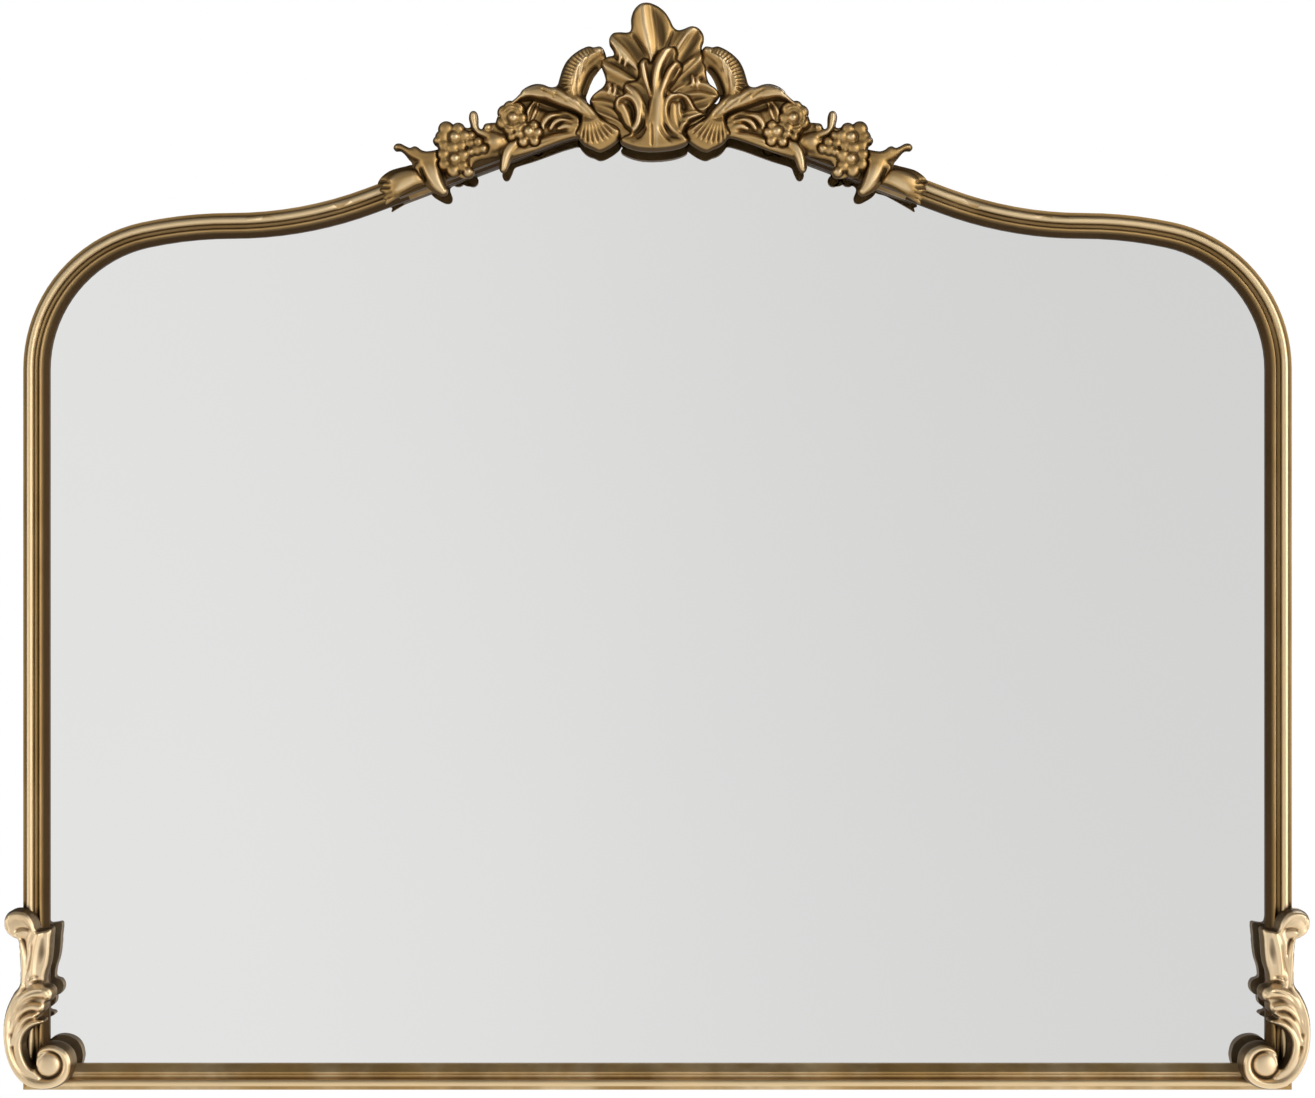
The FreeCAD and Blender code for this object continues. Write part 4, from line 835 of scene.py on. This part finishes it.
class Paint(Nodes):
    """A material over the object's own coordinates."""

    def __init__(self, name):
        self.material = bpy.data.materials.new(name)
        self.material.use_nodes = True
        super().__init__(self.material.node_tree)
        self.shader = self.tree.nodes["Principled BSDF"]
        self.place = self.node("ShaderNodeTexCoord").outputs["Object"]

    def noise(self, scale, detail=4.0, roughness=0.55, stretch=None):
        made = self.node("ShaderNodeTexNoise")
        made.inputs["Scale"].default_value = scale
        made.inputs["Detail"].default_value = detail
        made.inputs["Roughness"].default_value = roughness
        if stretch:
            mapping = self.node("ShaderNodeMapping")
            mapping.inputs["Scale"].default_value = stretch
            self.link(self.place, mapping.inputs["Vector"])
            self.link(mapping.outputs["Vector"], made.inputs["Vector"])
        else:
            self.link(self.place, made.inputs["Vector"])
        return made.outputs["Fac"]

    def mix(self, share, first, second):
        made = self.node("ShaderNodeMix", data_type="RGBA")
        self.link(share, made.inputs["Factor"])
        for name, value in (("A", first), ("B", second)):
            socket = next(s for s in made.inputs if s.name == name and s.type == "RGBA")
            if isinstance(value, tuple):
                socket.default_value = (*value, 1)
            else:
                self.link(value, socket)
        return next(s for s in made.outputs if s.type == "RGBA")

    def bump(self, height, strength, distance):
        made = self.node("ShaderNodeBump")
        made.inputs["Strength"].default_value = strength
        made.inputs["Distance"].default_value = distance
        self.link(height, made.inputs["Height"])
        self.link(made.outputs["Normal"], self.shader.inputs["Normal"])

    def colour(self, value):
        self.link(value, self.shader.inputs["Base Color"])

    def roughness(self, value):
        self.link(value, self.shader.inputs["Roughness"])

    def metal(self):
        self.shader.inputs["Metallic"].default_value = 1.0


# Golds, and where they change on the mouldings, in metres and in the slope of the surface

GOLD_DARK = (0.085, 0.05, 0.02)
GOLD_SHADE = (0.045, 0.024, 0.01)
GOLD_DEEP = (0.39, 0.24, 0.088)
GOLD = (0.53, 0.34, 0.135)
# Pale gold of wear and of painted highlight
GOLD_PALE = (0.92, 0.72, 0.44)
# Paler golds of the corner scrolls, painted lighter for the stronger light on them
GOLD_CREAM = (0.82, 0.655, 0.44)
GOLD_WARM = (0.73, 0.54, 0.325)
GROOVE_REACH = 0.005
SLOPE_TOP = -0.0305
SLOPE_FOOT = -0.0265
BEAD_FOOT = -0.0310
BEAD_TOP = -0.0327
FLAT_SLOPE = -0.95
FULL_SLOPE = -0.75
CREST_SHADE_END = 0.165
CREST_SHADE_FULL = 0.14


def gilt(paint, patina_and_shade, wear_and_highlight, deep=GOLD_DEEP, light=GOLD, dark=GOLD_DARK):
    """Antique gold: dark patina and painted shade by the first share, paler gold for wear and painted
    highlight by the second.
    """
    cloud = paint.noise(26, 4)
    tone = paint.mix(paint.map(cloud, 0.3, 0.7), deep, light)
    # Paler gold for wear, and painted highlight
    tone = paint.mix(wear_and_highlight, tone, GOLD_PALE)
    # Dark patina, mixed with painted shade
    paint.colour(paint.mix(patina_and_shade, tone, dark))
    dulled = paint.math("MULTIPLY", patina_and_shade, 0.1)
    paint.roughness(paint.math("ADD", paint.map(cloud, 0.3, 0.7, 0.42, 0.5), dulled))
    paint.metal()
    paint.bump(paint.noise(240, 2), 0.03, 0.0003)
    return paint.material


def gilt_moulding(name, patina_and_slope_shade, wear_and_light, bead_highlight):
    """Gold on the mouldings: a painted highlight on the bead, patina and painted shade in the grooves, and
    painted shade on the slope to the glass.
    """
    paint = Paint(name)
    # Ambient occlusion paints shade, with patina, in the grooves
    shade = paint.node("ShaderNodeAmbientOcclusion", samples=16)
    shade.inputs["Distance"].default_value = GROOVE_REACH
    groove = paint.map(shade.outputs["AO"], 0.5, 0.95, patina_and_slope_shade, 0.0)
    depth = paint.parts(paint.place)["Y"]
    facing = paint.parts(paint.node("ShaderNodeNewGeometry").outputs["Normal"])["Y"]
    # Painted shade on the steep slope down to the glass
    low = paint.map(depth, SLOPE_TOP, SLOPE_FOOT, 0.4, 1.0)
    steep = paint.map(facing, FLAT_SLOPE, FULL_SLOPE, 0.0, patina_and_slope_shade)
    patina_and_shade = paint.math("MAXIMUM", groove, paint.math("MULTIPLY", low, steep))
    # Painted highlight along the top of the bead
    bead = paint.map(depth, BEAD_FOOT, BEAD_TOP, 0.0, bead_highlight)
    # Paler gold in random patches for wear; made strong, it paints more light
    wear_and_highlight = paint.math("MAXIMUM", bead, paint.map(paint.noise(14, 4), 0.35, 0.75, 0.0, wear_and_light))
    return gilt(paint, patina_and_shade, wear_and_highlight, dark=GOLD_SHADE)


def gilt_crown():
    """Gold of the crown, with painted shade that deepens under the crest."""
    paint = Paint("gilt_crown")
    across = paint.parts(paint.place)["X"]
    # Painted shade, darkest under the crest
    left = paint.map(across, -CREST_SHADE_END, -CREST_SHADE_FULL, 0.4, 0.98)
    right = paint.map(across, CREST_SHADE_FULL, CREST_SHADE_END, 0.98, 0.4)
    wear_and_highlight = paint.map(paint.noise(14, 4), 0.45, 0.75, 0.0, 0.3)
    return gilt(paint, paint.math("MINIMUM", left, right), wear_and_highlight, dark=GOLD_SHADE)


def gilt_base():
    """Gold dark all over with painted shade, on the plate behind the carving."""
    paint = Paint("gilt_base")
    # Painted shade over the whole plate, varied at random
    patina_and_shade = paint.map(paint.noise(18, 4), 0.3, 0.7, 0.8, 0.98)
    wear_and_highlight = paint.map(paint.noise(14, 4), 0.45, 0.75, 0.0, 0.3)
    return gilt(paint, patina_and_shade, wear_and_highlight, dark=GOLD_SHADE)


def gilt_casting():
    """Gold on the crest: patina and painted shade where the casting lies low, wear and painted highlight
    where it stands high.
    """
    paint = Paint("gilt_casting")
    relief = paint.node("ShaderNodeAttribute", attribute_name="patina_and_shade").outputs["Fac"]
    # Patina and painted shade
    patina_and_shade = paint.map(relief, 0.1, -0.7, 0.0, 0.92)
    # Wear and painted highlight
    wear_and_highlight = paint.map(relief, 0.15, 0.8, 0.0, 0.6)
    return gilt(paint, patina_and_shade, wear_and_highlight)


def gilt_corner():
    """Paler gold of the corner scrolls, painted lighter for the stronger light on them, with patina and
    painted shade only in their cut lines.
    """
    paint = Paint("gilt_corner")
    relief = paint.node("ShaderNodeAttribute", attribute_name="patina_and_shade").outputs["Fac"]
    patina_and_shade = paint.map(relief, -0.05, -0.8, 0.0, 0.9)
    wear_and_highlight = paint.map(relief, 0.05, 0.6, 0.05, 0.5)
    # A lighter copy of the crest gold: painted light
    return gilt(paint, patina_and_shade, wear_and_highlight, GOLD_WARM, GOLD_CREAM)


def silvered_glass():
    paint = Paint("silvered_glass")
    haze = paint.noise(6, 3)
    paint.colour(paint.mix(haze, (0.93, 0.94, 0.94), (0.955, 0.96, 0.955)))
    paint.roughness(paint.map(paint.noise(60, 4), 0.2, 0.8, 0.0, 0.012))
    paint.metal()
    return paint.material


def fibre_board():
    paint = Paint("fibre_board")
    fibre = paint.noise(240, 6, 0.7, (1, 1, 3.5))
    cloud = paint.noise(9, 4)
    tone = paint.mix(paint.map(cloud, 0.3, 0.7), (0.30, 0.20, 0.115), (0.37, 0.255, 0.15))
    paint.colour(paint.mix(paint.map(fibre, 0.35, 0.75), tone, (0.235, 0.15, 0.08)))
    paint.roughness(paint.map(fibre, 0.2, 0.8, 0.72, 0.9))
    paint.bump(fibre, 0.25, 0.0004)
    return paint.material


def turned_wood():
    paint = Paint("turned_wood")
    grain = paint.noise(90, 6, 0.6, (1, 6, 6))
    paint.colour(paint.mix(paint.map(grain, 0.3, 0.7), (0.56, 0.40, 0.23), (0.42, 0.27, 0.14)))
    paint.roughness(paint.map(grain, 0.2, 0.8, 0.5, 0.7))
    paint.bump(grain, 0.2, 0.0003)
    return paint.material


def zinc_steel():
    paint = Paint("zinc_steel")
    spangle = paint.noise(180, 3)
    scratch = paint.noise(500, 4, 0.6, (1, 1, 0.15))
    paint.colour(paint.mix(paint.map(spangle, 0.35, 0.65), (0.56, 0.57, 0.58), (0.70, 0.71, 0.71)))
    paint.roughness(paint.map(scratch, 0.25, 0.75, 0.24, 0.42))
    paint.metal()
    paint.bump(scratch, 0.1, 0.0002)
    return paint.material


def rubber(name, dark, light, grain):
    paint = Paint(name)
    speck = paint.noise(grain, 4)
    paint.colour(paint.mix(paint.map(speck, 0.3, 0.7), dark, light))
    paint.roughness(paint.map(speck, 0.2, 0.8, 0.55, 0.8))
    paint.bump(speck, 0.2, 0.0003)
    return paint.material


def dress(node, material):
    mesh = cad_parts[node].data
    mesh.materials.clear()
    mesh.materials.append(material)


# The uprights: painted shade on the slope to the glass and a painted highlight on the bead
upright_gold = gilt_moulding("gilt_upright", patina_and_slope_shade=0.95, wear_and_light=0.15, bead_highlight=0.8)
dress("left_upright", upright_gold)
dress("right_upright", upright_gold)
# The bottom rail: a paler copy of the upright gold, with little slope shade and strong pale patches, painted
# lighter for the stronger light on it
dress("bottom_rail", gilt_moulding("gilt_bottom", patina_and_slope_shade=0.08, wear_and_light=1.0, bead_highlight=0.7))
dress("crown_rail", gilt_crown())
dress("crest_base", gilt_base())
dress("mirror_glass", silvered_glass())
dress("backing_board", fibre_board())
dress("mirror_mastic", rubber("mastic", (0.50, 0.49, 0.46), (0.60, 0.59, 0.56), grain=160))
dress("wall_bumpers", rubber("bumper_rubber", (0.012, 0.012, 0.013), (0.03, 0.03, 0.032), grain=300))
wood = turned_wood()
for node in ("crown_dowels", "mitre_dowels"):
    dress(node, wood)
steel = zinc_steel()
for node in ("backing_screws", "ornament_screws", "hanger_screws", "left_hanger_strap", "right_hanger_strap",
             "left_d_ring", "right_d_ring"):
    dress(node, steel)


def add_casting(node, relief, gold, back, photo_depth, mirror_pixel=None):
    """A casting that stands for a node of the solids."""
    piece = casting(node + "_casting", relief, back, photo_depth, mirror_pixel)
    piece.data.materials.append(gold)
    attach(piece, "frame")
    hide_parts(node)


def add_crest_casting(node, relief, mirror_pixel=None):
    add_casting(node, relief, casting_gold, CREST_BACK, CREST_PHOTO_DEPTH, mirror_pixel)


casting_gold = gilt_casting()
corner_gold = gilt_corner()
acanthus = carve_acanthus()
bird = carve_bird()
shell = carve_shell()
flowers = carve_flowers()
leaves = carve_leaves()
end_leaf = carve_end_leaf()
corner = carve_corner()
shell.cut_behind(acanthus, HIDDEN_OVERLAP)
leaves.cut_behind(flowers, HIDDEN_OVERLAP)
leaves.cut_behind(bird, HIDDEN_OVERLAP)
end_leaf.cut_behind(leaves, HIDDEN_OVERLAP)
for relief in (acanthus, bird, shell, flowers, leaves, end_leaf, corner):
    relief.settle()
add_crest_casting("crest_shell", shell)
add_crest_casting("crest_acanthus", acanthus)
for side, middle in (("left", None), ("right", CREST_MIDDLE_PIXEL)):
    add_crest_casting(f"{side}_bird", bird, middle)
    add_crest_casting(f"{side}_flowers", flowers, middle)
    add_crest_casting(f"{side}_leaves", leaves, middle)
    add_crest_casting(f"{side}_end_leaf", end_leaf, middle)
for side, middle in (("left", None), ("right", FRAME_MIDDLE_PIXEL)):
    add_casting(f"{side}_corner_scroll", corner, corner_gold, CORNER_BACK, CORNER_PHOTO_DEPTH, middle)


# Studio: white for the camera, a grey room in front of the mirror, a soft glow on each side, a lamp behind

# Fades of the room: axis of sight, where the fade begins and ends, and the light at both ends
ROOM_FADES = [
    ("Y", -0.955, -0.80, 0.745, 0.13), ("X", -0.25, 0.25, 0.06, -0.05), ("Z", -0.25, 0.25, 0.015, -0.015),
    ("Z", 0.25, 0.95, 0.0, 0.08), ("X", 0.5, 0.95, 0.0, 0.22), ("X", -0.95, -0.5, 0.14, 0.0)]

# Glows: direction, core and reach in degrees, and strength
GLOWS = [((0.791, -0.605, 0.093), 10, 32, 3.6), ((-0.903, -0.428, -0.048), 10, 32, 1.6)]
ROOM_TINT = (1.0, 0.995, 0.985, 1)
WHITE = (1, 1, 1, 1)
FLOOR_HALF = 2.8
FLOOR_HEIGHT = -1.2
FLOOR_GLOW = 0.6


def add_world():
    world = bpy.data.worlds.new("studio")
    bpy.context.scene.world = world
    world.use_nodes = True
    sky = Nodes(world.node_tree)
    sky.tree.nodes.clear()
    sight = sky.node("ShaderNodeTexCoord").outputs["Generated"]
    aim = sky.parts(sight)
    lights = [sky.map(aim[axis], *fade) for axis, *fade in ROOM_FADES]
    for direction, core, reach, strength in GLOWS:
        toward = sky.node("ShaderNodeVectorMath", operation="DOT_PRODUCT")
        sky.link(sight, toward.inputs[0])
        toward.inputs[1].default_value = direction
        edge = math.cos(math.radians(reach))
        full = math.cos(math.radians(core))
        lights.append(sky.map(toward.outputs["Value"], edge, full, 0.0, strength))
    room = lights[0]
    for light in lights[1:]:
        room = sky.math("ADD", room, light)
    lit = sky.node("ShaderNodeBackground")
    sky.link(room, lit.inputs["Strength"])
    lit.inputs["Color"].default_value = ROOM_TINT
    white = sky.node("ShaderNodeBackground")
    white.inputs["Color"].default_value = WHITE
    white.inputs["Strength"].default_value = 1.0
    mixed = sky.node("ShaderNodeMixShader")
    sky.link(sky.node("ShaderNodeLightPath").outputs["Is Camera Ray"], mixed.inputs["Fac"])
    sky.link(lit.outputs["Background"], mixed.inputs[1])
    sky.link(white.outputs["Background"], mixed.inputs[2])
    sky.link(mixed.outputs["Shader"], sky.node("ShaderNodeOutputWorld").inputs["Surface"])


def add_lamp(name, place, aim, size, power):
    data = bpy.data.lights.new(name, "AREA")
    data.shape = "DISK"
    data.size = size
    data.energy = power
    lamp = add_object(name, data)
    lamp.location = place
    lamp.rotation_mode = "QUATERNION"
    lamp.rotation_quaternion = (Vector(aim) - Vector(place)).to_track_quat("-Z", "Y")


def add_floor():
    mesh = bpy.data.meshes.new("floor")
    corners = [(-FLOOR_HALF, -FLOOR_HALF), (FLOOR_HALF, -FLOOR_HALF), (FLOOR_HALF, FLOOR_HALF),
               (-FLOOR_HALF, FLOOR_HALF)]
    mesh.from_pydata([(x, y, FLOOR_HEIGHT) for x, y in corners], [], [(0, 1, 2, 3)])
    floor = add_object("floor", mesh)
    paint = Paint("pale_floor")
    paint.colour(paint.mix(paint.noise(3, 3), (0.80, 0.80, 0.79), (0.84, 0.84, 0.83)))
    paint.roughness(paint.map(paint.noise(40, 4), 0.2, 0.8, 0.6, 0.75))
    rays = paint.node("ShaderNodeLightPath").outputs
    seen = paint.math("MAXIMUM", rays["Is Camera Ray"], rays["Is Glossy Ray"])
    paint.link(paint.math("MULTIPLY", seen, FLOOR_GLOW), paint.shader.inputs["Emission Strength"])
    paint.shader.inputs["Emission Color"].default_value = WHITE
    mesh.materials.append(paint.material)


def add_camera():
    data = bpy.data.cameras.new("photo_camera")
    data.sensor_width = SENSOR_WIDTH
    data.lens = SENSOR_WIDTH * FOCAL_PIXELS / PHOTO_WIDTH
    camera = add_object("photo_camera", data)
    camera.location = (0, -CAMERA_DISTANCE, CAMERA_HEIGHT)
    camera.rotation_euler = (math.radians(90), 0, 0)
    bpy.context.scene.camera = camera


add_world()
add_lamp("back_lamp", place=(0.8, 2.4, 0.5), aim=(0, 0, 0), size=2.0, power=60)
add_floor()
add_camera()
bpy.context.scene.view_settings.view_transform = "Standard"
